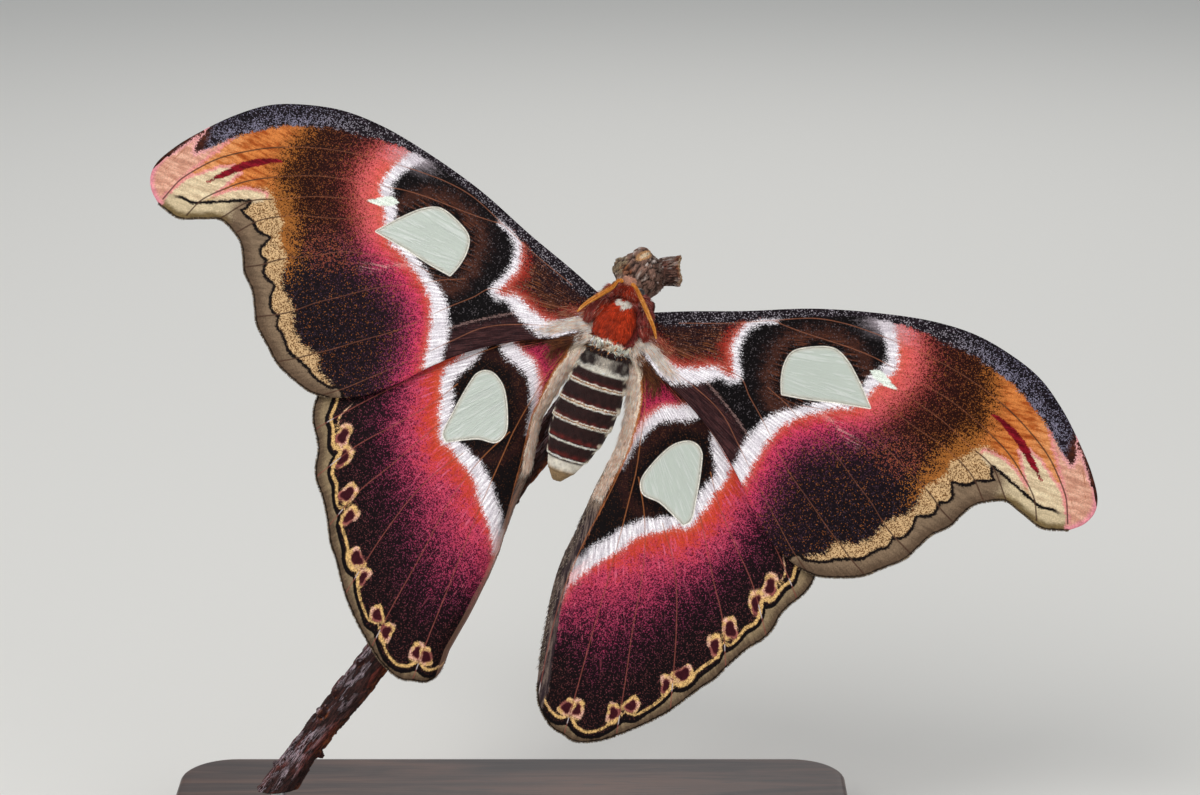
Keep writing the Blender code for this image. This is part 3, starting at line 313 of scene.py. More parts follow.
hindMarks = {
    "am": [(22.8, -12.4), (20.8, -16.1), (18.0, -17.5), (15.3, -18.7), (13.2, -20.8), (12.1, -23.3),
           (11.2, -26.0), (10.8, -28.5), (10.4, -32.0)],
    "amHalf": [1.2, 1.7, 1.6, 1.4, 1.2, 0.9, 0.4],
    "pm": [(26.0, -15.5), (28.0, -20.5), (29.1, -22.9), (30.7, -25.3), (30.7, -27.8), (29.8, -30.2),
           (28.9, -33.3), (28.4, -35.7), (27.4, -38.4), (25.0, -39.2), (22.9, -40.6), (20.8, -41.6),
           (18.0, -43.4), (15.6, -45.8), (13.9, -48.6), (11.4, -51.0), (9.3, -54.1), (7.9, -56.5),
           (6.4, -59.3), (5.9, -62.0), (4.0, -66.0)],
    "pmHalf": [1.4, 1.5, 1.5, 1.3, 1.2, 1.3, 1.6, 1.8, 1.8, 1.8, 1.7, 1.6],
    "gold": [(52.1, -37.4), (52.0, -40.3), (52.1, -42.7), (50.8, -44.8), (50.1, -46.7), (49.3, -48.5),
             (47.9, -48.5), (47.6, -49.6), (48.1, -51.7), (47.8, -53.9), (46.2, -55.7), (45.4, -58.3),
             (44.2, -60.2), (42.8, -60.1), (42.6, -61.5), (42.6, -63.3), (41.0, -65.6), (39.5, -67.8),
             (38.8, -70.1), (37.2, -71.8), (35.6, -71.6), (35.4, -73.0), (34.6, -75.2), (33.2, -77.5),
             (31.6, -79.4), (29.9, -81.0), (28.0, -81.0), (27.3, -82.2), (25.8, -84.3), (24.2, -86.2),
             (21.6, -87.7), (19.3, -87.4), (17.9, -86.2), (17.2, -85.5), (15.3, -86.7), (13.2, -86.2),
             (11.1, -84.6), (9.3, -83.0), (7.9, -80.6)],
    "black": [(53.0, -37.4), (52.9, -41.2), (52.9, -43.4), (51.6, -45.3), (50.9, -47.6), (50.1, -49.4),
              (48.7, -50.2), (48.9, -51.7), (48.5, -54.4), (46.8, -56.6), (45.9, -58.9), (44.4, -61.3),
              (43.5, -62.0), (43.3, -63.9), (41.7, -66.6), (40.3, -68.8), (39.5, -70.9), (37.6, -72.9),
              (36.2, -73.1), (35.5, -74.9), (34.6, -76.7), (32.4, -79.7), (30.4, -82.2), (28.4, -82.9),
              (26.3, -85.7), (24.0, -87.9), (20.8, -89.0), (18.7, -88.4), (17.3, -87.5), (14.9, -88.2),
              (12.5, -87.5), (10.4, -86.2), (8.8, -84.3), (7.2, -81.3)],
    # middle, half length, half width and turn of each small ring beside a vein's end
    "rings": [(48.3, -45.7, 2.0, 1.0, 98), (46.7, -50.0, 2.2, 1.0, 112), (43.3, -57.0, 1.9, 1.1, 120),
              (41.4, -61.4, 2.0, 0.95, 118), (37.0, -69.3, 1.7, 1.15, 48), (34.5, -72.8, 1.7, 0.9, 108),
              (28.8, -79.2, 1.5, 1.0, 60), (25.8, -82.0, 1.6, 0.95, 95), (18.2, -83.9, 1.6, 0.9, 92),
              (15.9, -84.2, 1.5, 1.0, 70), (9.6, -82.4, 1.4, 0.7, 110)],
    "wedge": [(8.6, -10.6), (12.5, -12.2), (16.5, -14.6), (19.6, -16.6), (16.8, -18.4), (13.4, -20.8),
              (11.4, -24.0), (10.4, -20.0), (9.6, -15.0)],
    "goldHalf": [0.4, 0.56, 0.36, 0.54, 0.3, 0.5, 0.36],
    "strand": [(48.6, -38.2), (49.2, -39.4), (50.3, -42.0), (50.0, -44.3)],
    "strandHalf": [0.2, 0.32, 0.3],
    "veins": [
        [(4.5, -11.0), (5.5, -13.5), (7.5, -17.0), (9.6, -22.0), (10.4, -28.0), (10.1, -35.0), (9.2, -42.0),
         (8.2, -48.0), (7.6, -54.0), (7.2, -61.0), (7.6, -70.0), (9.2, -84.0)],
        [(8.8, -12.4), (11.0, -19.0), (12.2, -25.0), (13.6, -32.0), (14.2, -38.0), (14.9, -46.0),
         (15.5, -55.0), (16.2, -70.0), (16.8, -80.1), (17.2, -89.6)],
        [(14.5, -33.0), (18.0, -39.5), (20.8, -47.0), (22.5, -54.9), (23.9, -64.0), (26.0, -75.0),
         (27.8, -86.2)],
        [(22.5, -40.5), (27.0, -46.9), (29.9, -52.9), (32.9, -61.9), (34.8, -69.0), (36.8, -77.0)],
        [(29.5, -36.5), (32.6, -41.6), (36.6, -48.4), (41.0, -55.4), (44.9, -64.6)],
        [(28.5, -27.0), (32.5, -33.0), (38.5, -39.8), (44.6, -46.4), (50.8, -55.5)],
        [(9.2, -9.6), (17.2, -12.6), (24.2, -17.6), (31.2, -23.4), (41.2, -32.0), (50.8, -42.0),
         (54.6, -46.4)],
    ],
}


def wingNet(outline, holes, veins, spacing):
    # flat points and triangles: a close triangular net, with points along the rims and along each vein
    fixed = [outline, *holes]
    points = np.concatenate(fixed)
    edges = []
    first = 0
    for loop in fixed:
        count = len(loop)
        edges += [(first + k, first + (k + 1) % count) for k in range(count)]
        first += count
    for curve in veins:
        line = smoothPath(curve, spacing * 1.1)
        keep = insideLoop(line, outline)
        for hole in holes:
            keep &= ~insideLoop(line, hole)
        near = np.minimum.reduce([nearCurve(line, loop, closed=True)[0] for loop in fixed])
        if len(points) > len(outline):
            near = np.minimum(near, nearestPoint(line, points[len(outline):]))
        keep &= near > 0.35 * spacing
        numbers = np.full(len(line), -1)
        numbers[keep] = len(points) + np.arange(keep.sum())
        points = np.concatenate([points, line[keep]])
        edges += [(int(a), int(b)) for a, b in zip(numbers, numbers[1:]) if a >= 0 and b >= 0]
    low, high = outline.min(axis=0), outline.max(axis=0)
    rows = np.arange(low[1], high[1], spacing * 0.87)
    columns = np.arange(low[0], high[0], spacing)
    grid = np.array([(u + (k % 2) * spacing / 2, v) for k, v in enumerate(rows) for u in columns])
    grid = grid[insideLoop(grid, outline)]
    for hole in holes:
        grid = grid[~insideLoop(grid, hole)]
    grid = grid[nearestPoint(grid, points) > 0.5 * spacing]
    points = np.concatenate([points, grid])
    flat, _, faces, _, _, _ = geometry.delaunay_2d_cdt([Vector(p) for p in points], edges, [], 0, 1e-5)
    flat = np.array([tuple(p) for p in flat])
    faces = np.array([tuple(face) for face in faces if len(face) == 3])
    middles = flat[faces].mean(axis=1)
    keep = insideLoop(middles, outline)
    for hole in holes:
        keep &= ~insideLoop(middles, hole)
    return flat, faces[keep]


def nearestPoint(points, others):
    # distance to the nearest of the others, looked up in a grid of 1 mm cells
    cells = {}
    for k, (u, v) in enumerate(others):
        cells.setdefault((int(u // 1), int(v // 1)), []).append(k)
    found = np.full(len(points), 9.0)
    for n, (u, v) in enumerate(points):
        column, row = int(u // 1), int(v // 1)
        near = []
        for i in (-1, 0, 1):
            for j in (-1, 0, 1):
                near += cells.get((column + i, row + j), ())
        if near:
            away = others[near] - (u, v)
            found[n] = math.sqrt((away * away).sum(axis=1).min())
    return found


def storeValues(mesh, name, values):
    layer = mesh.attributes.new(name, "FLOAT", "POINT")
    layer.data.foreach_set("value", values.astype(np.float32))


def storeMap(mesh, name, spots):
    # a UV map from a place for each point of the mesh
    corners = np.empty(len(mesh.loops), np.int32)
    mesh.loops.foreach_get("vertex_index", corners)
    layer = mesh.uv_layers.new(name=name)
    layer.data.foreach_set("uv", spots[corners].astype(np.float32).ravel())


def wingSheet(name, flat, faces, place, side, matrix, marks, rise, thin):
    # a closed sheet: the net on top, the same net below, and a rim between them
    count = len(flat)
    half = wingShape["halfThick"] * thin
    u, v = flat[:, 0], flat[:, 1]
    top = place(u, v, side, half + rise)
    under = place(u, v, side, -half - rise * 0.8)
    points = toWorld(np.concatenate([top, under]), matrix)
    upper = faces if side > 0 else faces[:, ::-1]
    directed = np.concatenate([upper[:, [0, 1]], upper[:, [1, 2]], upper[:, [2, 0]]])
    known = set(map(tuple, directed.tolist()))
    rim = [(a, b) for a, b in directed.tolist() if (b, a) not in known]
    rimFaces = [face for a, b in rim for face in ((b, a, a + count), (b, a + count, b + count))]
    allFaces = np.concatenate([upper, upper[:, ::-1] + count, np.array(rimFaces)])
    used = np.unique(allFaces)
    number = np.full(len(points), -1)
    number[used] = np.arange(len(used))
    obj = addMesh(name, points[used], number[allFaces].tolist())
    mesh = obj.data
    mesh.shade_smooth()
    marks = {key: np.concatenate([values, values])[used] for key, values in marks.items()}
    marks["under"] = (used >= count).astype(float)
    for key, values in marks.items():
        storeValues(mesh, key, values)
    # one map lies flat, the other has its rays start near the root
    both = np.concatenate([flat, flat])[used]
    reach = np.hypot(both[:, 0], both[:, 1] + wingShape["rootBehind"])
    turn = np.arctan2(both[:, 1] + wingShape["rootBehind"], both[:, 0])
    storeMap(mesh, "flatMap", both / 100)
    storeMap(mesh, "rayMap", np.stack([reach / 100, turn], axis=1))
    return obj


def gapTo(points, drawn, spacing=0.6):
    return nearCurve(points, smoothPath(drawn, spacing))[0]


def commonMarks(flat, drawn, pane, rim, inRootField, inOuterField):
    # what both wings carry: white lines and the fields beyond them, window, outer edge and veins
    am, pm = smoothPath(drawn["am"], 1.0), smoothPath(drawn["pm"], 1.0)
    return {
        "amBand": band(flat, am, drawn["amHalf"]),
        "pmBand": band(flat, pm, drawn["pmHalf"]),
        "basal": signedLine(flat, am, inRootField),
        "outer": signedLine(flat, pm, inOuterField),
        "pane": nearCurve(flat, pane, closed=True)[0],
        "edge": gapTo(flat, wingShape[rim]),
        "vein": np.minimum.reduce([gapTo(flat, curve) for curve in drawn["veins"]]),
    }


def forewingMarks(flat, pane):
    marks = commonMarks(flat, foreMarks, pane, "termen", (18.0, 0.0), (65.0, 0.0))
    marks["innerEdge"] = gapTo(flat, wingShape["dorsum"], 0.8)
    for name, spacing, towards in (("costal", 0.8, (62.0, 18.0)), ("wavy", 0.4, (80.0, -19.0)),
                                   ("beige", 0.6, (80.0, -19.0)), ("pinkTip", 0.8, (105.0, -5.0))):
        marks[name] = signedLine(flat, smoothPath(foreMarks[name], spacing), towards)
    marks["streak"] = band(flat, smoothPath(foreMarks["streak"], 0.6), foreMarks["streakHalf"])
    marks["window2"] = depthInside(flat, np.array(foreMarks["window2"]))
    marks["cream"] = np.maximum.reduce([depthInside(flat, np.array(lobe)) for lobe in foreMarks["lobes"]])
    marks["tipLine"] = np.minimum.reduce([gapTo(flat, line) for line in foreMarks["tipLines"]])
    marks["flash"] = gapTo(flat, foreMarks["flash"])
    # how far up across the wing, and how far past the start of the orange tip
    marks["across"] = flat[:, 1] + 0.32 * (flat[:, 0] - 50)
    marks["apex"] = flat[:, 0] - 82.2 + 0.4 * np.maximum(flat[:, 1] - 7, 0)
    return marks


def hindwingMarks(flat, pane):
    marks = commonMarks(flat, hindMarks, pane, "hindTermen", (8.0, -14.0), (25.0, -60.0))
    marks["innerEdge"] = flat[:, 0] - innerRim(flat[:, 1])
    marks["wavy"] = signedLine(flat, smoothPath(hindMarks["black"], 0.4), (45.0, -70.0))
    gold = band(flat, smoothPath(hindMarks["gold"], 0.4), hindMarks["goldHalf"])
    core = np.full(len(flat), -1.0)
    for u, v, long, wide, turn in hindMarks["rings"]:
        # each ring is a squared loop, a little uneven, and thinner on one side
        angle = math.radians(turn)
        x = (flat[:, 0] - u) * math.cos(angle) + (flat[:, 1] - v) * math.sin(angle)
        y = -(flat[:, 0] - u) * math.sin(angle) + (flat[:, 1] - v) * math.cos(angle)
        squared = (np.abs(x / (long * 1.12)) ** 4 + np.abs(y / (wide * 1.25)) ** 4) ** 0.25
        ring = (squared + 0.1 * np.sin(3 * np.arctan2(y, x) + 2.3 * u) - 1.0) * (wide * 1.25)
        thinner = 0.3 * rising(np.cos(np.arctan2(y, x) - 1.7 * v), 0.55, 0.95)
        gold = np.maximum(gold, 0.43 - thinner - np.abs(ring))
        core = np.maximum(core, -ring)
    marks["gold"] = np.maximum(gold, band(flat, smoothPath(hindMarks["strand"], 0.5),
                                          hindMarks["strandHalf"]))
    marks["core"] = core
    marks["wedge"] = depthInside(flat, np.array(hindMarks["wedge"]))
    marks["back"] = -flat[:, 1]
    marks["reach"] = np.hypot(flat[:, 0], flat[:, 1] + wingShape["rootBehind"])
    # 0 on the outer white line, 1 on the wavy line
    marks["zone"] = marks["outer"] / np.maximum(marks["outer"] + np.maximum(-marks["wavy"], 0), 0.1)
    return marks


def makeWings(foreSkin, hindSkin, paneSkin):
    spacing, rimThin = wingShape["netSpacing"], wingShape["rimThin"]
    veinHeight, veinHalf = wingShape["veinRise"]
    ripple, alongRipple, acrossRipple = wingShape["ripple"]
    jobs = [
        ("forewing", ["costa", "termen", "dorsum"], "pane", onForewing, forewingFrame, foreMarks,
         forewingMarks, foreSkin),
        ("hindwing", ["hindDorsum", "hindTermen", "hindCosta"], "hindPane", onHindwing, mothFrame, hindMarks,
         hindwingMarks, hindSkin),
    ]
    for word, rim, paneKey, place, matrix, drawn, marker, skin in jobs:
        outline = np.concatenate([loopOf([wingShape[key] for key in rim], spacing),
                                  [wingShape[rim[-1]][-1]]])
        pane = loopOf(wingShape[paneKey], spacing)
        flat, faces = wingNet(outline, [pane], drawn["veins"], spacing)
        marks = marker(flat, pane)
        marks["rim"] = nearCurve(flat, outline, closed=True)[0]
        thin = rimThin + (1 - rimThin) * rising(marks["rim"], 0.0, 0.9)
        rise = veinHeight * np.exp(-(marks["vein"] / veinHalf) ** 2) * rising(marks["rim"], 0.1, 1.2)
        rise = rise + ripple * np.sin(flat[:, 0] * alongRipple) * np.sin(flat[:, 1] * acrossRipple)
        paneFlat, paneFaces = wingNet(pane, [], [], spacing)
        paneGap = {"paneRim": nearCurve(paneFlat, pane, closed=True)[0]}
        for side, name in sides.items():
            wing = wingSheet(f"{word}_{name}_scaled", flat, faces, place, side, matrix, marks, rise, thin)
            wing.data.materials.append(skin)
            finish(wing, "wing_scales", f"{word}_{name}")
            sheet = wingSheet(f"{word}_{name}_window", paneFlat, paneFaces, place, side, matrix, paneGap,
                              np.zeros(len(paneFlat)), np.full(len(paneFlat), rimThin))
            sheet.data.materials.append(paneSkin)
            finish(sheet, "wing_pane", f"{word}_pane_{name}")
    print("wings made")


def finish(obj, slotName, *nodes):
    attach(obj, "root")
    if nodes:
        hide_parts(*nodes)


def paint(text):
    # an sRGB colour as six hex digits, made linear
    parts = [int(text[k:k + 2], 16) / 255 for k in (0, 2, 4)]
    return tuple(c / 12.92 if c <= 0.04045 else ((c + 0.055) / 1.055) ** 2.4 for c in parts) + (1.0,)


def tones(look):
    # the colours of a dictionary as arrays
    return {key: np.array(paint(value)[:3]) for key, value in look.items() if isinstance(value, str)}


class Graph:
    # short calls for adding and joining shader nodes
    def __init__(self, tree):
        self.tree = tree

    def feed(self, node, **inputs):
        # Base_Color is the input called Base Color, in0 the first one; a text is a colour
        for key, value in inputs.items():
            number = key[2:] if key.startswith("in") else ""
            socket = node.inputs[int(number) if number.isdigit() else key.replace("_", " ")]
            if isinstance(value, bpy.types.NodeSocket):
                self.tree.links.new(value, socket)
            else:
                socket.default_value = paint(value) if isinstance(value, str) else value

    def node(self, kind, settings=None, **inputs):
        made = self.tree.nodes.new(kind)
        for key, value in (settings or {}).items():
            setattr(made, key, value)
        self.feed(made, **inputs)
        return made

    def mark(self, name, output="Fac"):
        return self.node("ShaderNodeAttribute", {"attribute_name": name}).outputs[output]

    def sum(self, operation, a, b=0.0):
        return self.node("ShaderNodeMath", {"operation": operation}, in0=a, in1=b).outputs[0]

    def times(self, a, b):
        return self.sum("MULTIPLY", a, b)

    def plus(self, a, b):
        return self.sum("ADD", a, b)

    def minus(self, a, b):
        return self.sum("SUBTRACT", a, b)

    def size(self, a):
        return self.sum("ABSOLUTE", a)

    def remap(self, value, low, high, toLow=0.0, toHigh=1.0, smooth=True):
        made = self.node("ShaderNodeMapRange", {"interpolation_type": "SMOOTHSTEP" if smooth else "LINEAR"},
                         Value=value, From_Min=low, From_Max=high, To_Min=toLow, To_Max=toHigh)
        return made.outputs[0]

    def fade(self, name, low, high, toLow=0.0, toHigh=1.0):
        # a marking's own value, from 0 at low to 1 at high
        return self.remap(self.mark(name), low, high, toLow, toHigh)

    def blend(self, factor, a, b, mode="MIX"):
        return self.node("ShaderNodeMix", {"data_type": "RGBA", "blend_type": mode}, in0=factor, in6=a,
                         in7=b).outputs[2]

    def ramp(self, value, stops):
        # stops are places with a colour or a grey value
        made = self.node("ShaderNodeValToRGB", None, in0=value)
        elements = made.color_ramp.elements
        while len(elements) < len(stops):
            elements.new(0.5)
        for element, (at, colour) in zip(elements, stops):
            element.position = at
            element.color = paint(colour) if isinstance(colour, str) else (colour, colour, colour, 1)
        return made.outputs["Color"]

    def shaded(self, colour, shade):
        # the colour made lighter or darker
        shades = self.node("ShaderNodeCombineColor", None, Red=shade, Green=shade, Blue=shade).outputs[0]
        return self.blend(1.0, colour, shades, "MULTIPLY")

    def place(self):
        return self.node("ShaderNodeTexCoord").outputs["Object"]

    def stretch(self, vector, scale, **more):
        return self.node("ShaderNodeMapping", None, Vector=vector, Scale=scale, **more).outputs[0]

    def noise(self, vector, scale, detail, dimensions="3D", **more):
        return self.node("ShaderNodeTexNoise", {"noise_dimensions": dimensions}, Vector=vector, Scale=scale,
                         Detail=detail, **more).outputs[0]

    def bump(self, height, strength, depth, invert=False):
        return self.node("ShaderNodeBump", {"invert": invert}, Height=height, Strength=strength,
                         Distance=depth).outputs[0]


scaleLook = {
    "perHundred": 520,  # scales along 100 mm
    "rays": (22.0, 95.0, 1.0),
    "clouds": 38.0,
    "uneven": 0.2,
    "under": "a8806c", "underShare": 0.4,
    "roughness": 0.55, "specular": 0.05, "bump": 0.45, "depth": 0.00012,
}


def makeScaleGroup():
    # the wing's scales: random values for each, soft rays from the root, and a height for the bump
    group = bpy.data.node_groups.new("wingScaleGrain", "ShaderNodeTree")
    face = group.interface
    for name in ("Flat", "Ray"):
        face.new_socket(name, in_out="INPUT", socket_type="NodeSocketVector")
    size = face.new_socket("Scales per 100 mm", in_out="INPUT", socket_type="NodeSocketFloat")
    size.default_value = scaleLook["perHundred"]
    for name in ("Scale", "Second", "Third", "Rays", "Clouds", "Height"):
        face.new_socket(name, in_out="OUTPUT", socket_type="NodeSocketFloat")
    g = Graph(group)
    given = g.node("NodeGroupInput").outputs
    cells = g.node("ShaderNodeTexVoronoi", {"voronoi_dimensions": "2D"}, Vector=given["Flat"],
                   Scale=given["Scales per 100 mm"])
    parts = g.node("ShaderNodeSeparateColor", None, Color=cells.outputs["Color"]).outputs
    rays = g.noise(g.stretch(given["Ray"], scaleLook["rays"]), 1.0, 3.0, "2D", Roughness=0.6)
    clouds = g.noise(given["Flat"], scaleLook["clouds"], 3.0, "2D", Roughness=0.55)
    g.feed(g.node("NodeGroupOutput"), Scale=parts[0], Second=parts[1], Third=parts[2],
           Rays=rays, Clouds=clouds, Height=cells.outputs["Distance"])
    return group


def startMaterial(name):
    material = bpy.data.materials.new(name)
    material.use_nodes = True
    tree = material.node_tree
    return material, Graph(tree), tree.nodes["Principled BSDF"]


class WingPaint:
    # lays markings over one another; each edge is roughened scale by scale and along the rays from the root
    def __init__(self, g, group):
        self.g = g
        flat, ray = (g.node("ShaderNodeUVMap", {"uv_map": name}).outputs[0] for name in ("flatMap", "rayMap"))
        self.grain = g.node("ShaderNodeGroup", {"node_tree": group}, Flat=flat, Ray=ray).outputs
        self.dither = g.minus(self.grain["Scale"], 0.5)
        self.fray = g.minus(self.grain["Rays"], 0.5)
        self.cloud = g.minus(self.grain["Clouds"], 0.5)
        self.colour = None  # the ground, which the first marking is laid over

    def rough(self, name, speckle, rays, clouds=0.0):
        g = self.g
        value = g.plus(g.mark(name), g.times(self.dither, speckle))
        value = g.plus(value, g.times(self.fray, rays))
        return g.plus(value, g.times(self.cloud, clouds)) if clouds else value

    def edge(self, name, grain, low, high, toLow=0.0, toHigh=1.0):
        # where a marking ends; grain is how much speckle, rays and clouds roughen it, in millimetres
        return self.g.remap(self.rough(name, *grain), low, high, toLow, toHigh)

    def line(self, name, grain, far, near):
        # a line along a marking's zero
        return self.g.remap(self.g.size(self.rough(name, *grain)), far, near)

    def lay(self, mask, colour, amount=1.0):
        if amount != 1.0:
            mask = self.g.times(mask, amount)
        self.colour = self.g.blend(mask, self.colour, colour)

    def share(self, density, random="Second", soft=0.1):
        # which scales take the second colour, where density is the part of them that do
        return self.g.remap(self.g.minus(density, self.grain[random]), -soft, soft)

    def streaked(self, a, b, low=0.35, high=0.7):
        return self.g.blend(self.g.remap(self.grain["Rays"], low, high), a, b)

    def outerField(self, at, dark, light, density):
        # outside the outer white line: dark scales among which lighter ones grow fewer outwards
        g = self.g
        ground, scales = g.ramp(at, dark), g.ramp(at, light)
        return g.blend(self.share(g.ramp(at, density)), ground, scales)

    def whiteLines(self, bands, whites, inward=None):
        # the two white lines, soft on the red side, sharp against the black
        g = self.g
        speckle, rays, low, high = bands
        for name, beyond in (("amBand", "basal"), ("pmBand", "outer")):
            fringe = g.times(self.edge(name, (speckle, rays, 1.0), low, high), g.fade(beyond, -0.4, 0.6))
            self.lay(fringe, "c8685a", 0.65)
            band = self.edge(name, (1.0, 1.15, 1.2), -0.5, 0.66)
            self.lay(band if inward is None else g.times(band, inward), self.streaked(*whites))

    def finish(self, shader):
        # each scale is a little lighter or darker; the underside is paler and browner
        g, uneven = self.g, scaleLook["uneven"]
        shade = g.remap(self.grain["Third"], 0.0, 1.0, 1.0 - uneven, 1.0 + uneven, smooth=False)
        shade = g.times(shade, g.remap(self.grain["Rays"], 0.3, 0.7, 0.84, 1.16, smooth=False))
        colour = g.shaded(self.colour, shade)
        pale = g.blend(scaleLook["underShare"], colour, scaleLook["under"])
        colour = g.blend(g.mark("under"), colour, pale)
        height = g.plus(g.times(self.grain["Height"], 0.5), self.grain["Rays"])
        g.feed(shader, Base_Color=colour, Roughness=scaleLook["roughness"],
               Specular_IOR_Level=scaleLook["specular"],
               Normal=g.bump(height, scaleLook["bump"], scaleLook["depth"]))


def makeForewingSkin(group):
    look = {
        # how far the colours reach round the window and outside the outer white line, in millimetres
        "medianSpan": 8.0, "span": 22.0,
        "rootDark": "231014", "rootRed": "982c22", "rootBright": "b23a26",
        "median": [(0.0, "0a0607"), (0.1, "160c0b"), (0.24, "3a2019"), (0.42, "40241c"), (0.56, "1e1110"),
                   (0.7, "0f0a0b"), (1.0, "0b0809")],
        "dark": [(0.0, "ac321e"), (0.08, "a22a2a"), (0.18, "7c1a38"), (0.3, "4a1428"), (0.42, "2b121c"),
                 (0.55, "1a0e14"), (1.0, "140c11")],
        "darkHigh": [(0.0, "b03a24"), (0.08, "ac3430"), (0.2, "8a2a2c"), (0.34, "4a1816"), (0.5, "280d0c"),
                     (0.8, "240c08"), (1.0, "301408")],
        "lowLight": [(0.0, "c8442c"), (0.08, "c83e38"), (0.2, "c83e5e"), (0.3, "a23456"), (0.42, "76304a"),
                     (0.6, "482a3a"), (1.0, "40303a")],
        "lowShare": [(0.0, 1.0), (0.08, 0.88), (0.2, 0.66), (0.3, 0.5), (0.42, 0.26), (0.6, 0.09),
                     (1.0, 0.08)],
        "highLight": [(0.0, "da6248"), (0.1, "d85c54"), (0.22, "cf5c5c"), (0.38, "8e3c38"), (0.55, "5e2c22"),
                      (0.8, "6a3a1e"), (1.0, "86501f")],
        "highShare": [(0.0, 1.0), (0.12, 0.94), (0.26, 0.76), (0.38, 0.48), (0.5, 0.2), (0.8, 0.14),
                      (1.0, 0.25)],
        "white": "f1ecee", "apex": "c8773c", "apexDeep": "a9501f", "apexPale": "d89460",
        "beige": "c6a377", "beigeDark": "7c5836", "cream": "cfb592", "margin": "5c4939",
        "marginPale": "7c6752",
    }
    material, g, shader = startMaterial("forewingScales")
    p = WingPaint(g, group)
    # the middle field: black round the window, then brown, then black to the white lines
    p.colour = g.ramp(g.times(p.rough("pane", 1.6, 3.6, 3.0), 1 / look["medianSpan"]), look["median"])
    p.lay(g.times(g.remap(p.grain["Rays"], 0.56, 0.68), p.edge("pane", (1.0, 1.0, 3.0), 5.5, 1.0)),
          "6a3a24", 0.5)
    p.lay(p.share(0.035, "Third"), "8d8286", 0.5)
    p.lay(p.edge("innerEdge", (1.2, 3.0, 2.0), 6.2, 4.8), p.streaked("2a171a", "4a2c2c"), 0.8)
    p.lay(g.remap(g.size(g.minus(p.rough("innerEdge", 0.4, 0.8), 6.0)), 0.3, 0.1), "9a7a74", 0.5)
    # the field at the root: dark, reddening towards the inner white line
    root = p.streaked(look["rootDark"], "6a3c22", 0.46, 0.66)
    root = g.blend(p.edge("basal", (2.2, 4.5, 2.0), 4.6, 1.4), root, look["rootRed"])
    root = g.blend(p.edge("basal", (1.0, 2.5), 2.4, 0.2), root, look["rootBright"])
    root = g.blend(g.times(p.share(g.fade("costal", -5.0, 0.0, 0.05, 0.75), "Third"), 0.85), root, "1e1014")
    root = g.blend(g.times(p.share(0.035, "Second"), 0.7), root, "a07a70")
    p.lay(p.edge("basal", (0.7, 1.0), -0.3, 0.3), root)
    # outside the outer white line: red, then rose among dark scales, darker outwards, browner above
    distance = p.rough("outer", 1.2, 2.4, 2.5)
    at = g.times(distance, 1.0 / look["span"])
    low = p.outerField(at, look["dark"], look["lowLight"], look["lowShare"])
    high = p.outerField(at, look["darkHigh"], look["highLight"], look["highShare"])
    outer = g.blend(p.edge("across", (3.0, 2.0, 5.0), -10.0, 4.0), low, high)
    middle = g.times(p.edge("across", (2.0, 2.0, 4.0), -13.0, -6.0), g.fade("outer", 7.0, 12.0))
    middle = g.times(middle, p.edge("across", (2.0, 2.0, 4.0), 3.0, -4.0, 0.0, 0.28))
    outer = g.blend(p.share(middle, "Third"), outer, "8a4438")
    rust = g.times(p.edge("beige", (1.0, 1.5, 2.5), -6.5, -0.3, 0.0, 0.8),
                   p.edge("across", (2.0, 1.0, 4.0), -16.0, -4.0))
    outer = g.blend(p.share(rust, "Third"), outer, "a0622c")
    outer = g.blend(p.share(p.edge("apex", (1.0, 2.0, 3.0), -5.5, -0.3, 0.0, 0.6), "Third"), outer, "a4602a")
    p.lay(g.remap(distance, -0.3, 0.3), outer)
    p.lay(g.times(p.line("flash", (1.5, 5.0, 1.5), 2.0, 0.2),
                  g.remap(p.grain["Rays"], 0.48, 0.6)), "d9a49c", 0.5)
    # the apex: orange, paler outwards
    p.lay(p.edge("apex", (3.4, 2.5, 3.0), -2.4, 1.6), p.streaked(look["apexDeep"], look["apex"], 0.3, 0.6))
    p.lay(p.edge("apex", (2.0, 5.0, 2.0), 5.0, 14.0), p.streaked(look["apex"], look["apexPale"], 0.3, 0.6))
    # the pale band with its inward lobes, then the cream lobes with their pink rims
    speckled = g.blend(p.share(g.fade("apex", 0.0, 6.0, 0.36, 0.05), "Third"), look["beige"],
                       look["beigeDark"])
    p.lay(p.edge("beige", (1.0, 1.8, 0.8), -0.4, 0.4), speckled)
    p.lay(g.times(p.edge("cream", (0.5, 1.0, 0.6), -0.7, -0.1), g.fade("beige", 1.6, 0.6)), "dd8f8a")
    p.lay(p.edge("cream", (0.4, 1.0, 0.6), -0.05, 0.45), p.streaked(look["cream"], "dcc8a4"))
    # outside the wavy line: grey-brown with a paler inner edge, cream under the tip
    margin = g.blend(p.edge("edge", (0.4, 0.6, 0.6), 0.6, 3.0), look["margin"], look["marginPale"])
    pale = g.blend(p.edge("edge", (0.3, 0.5, 0.8), 0.7, 2.2), "6f5c3c", "c9b592")
    margin = g.blend(p.edge("apex", (1.0, 1.0), 3.5, 7.5), margin, pale)
    p.lay(p.edge("wavy", (0.25, 0.3), -0.15, 0.15), margin)
    p.lay(g.times(p.line("wavy", (0.3, 0.4, 0.8), 0.52, 0.2), g.fade("apex", 19.5, 17.0, 0.0, 1.0)), "120c0c")
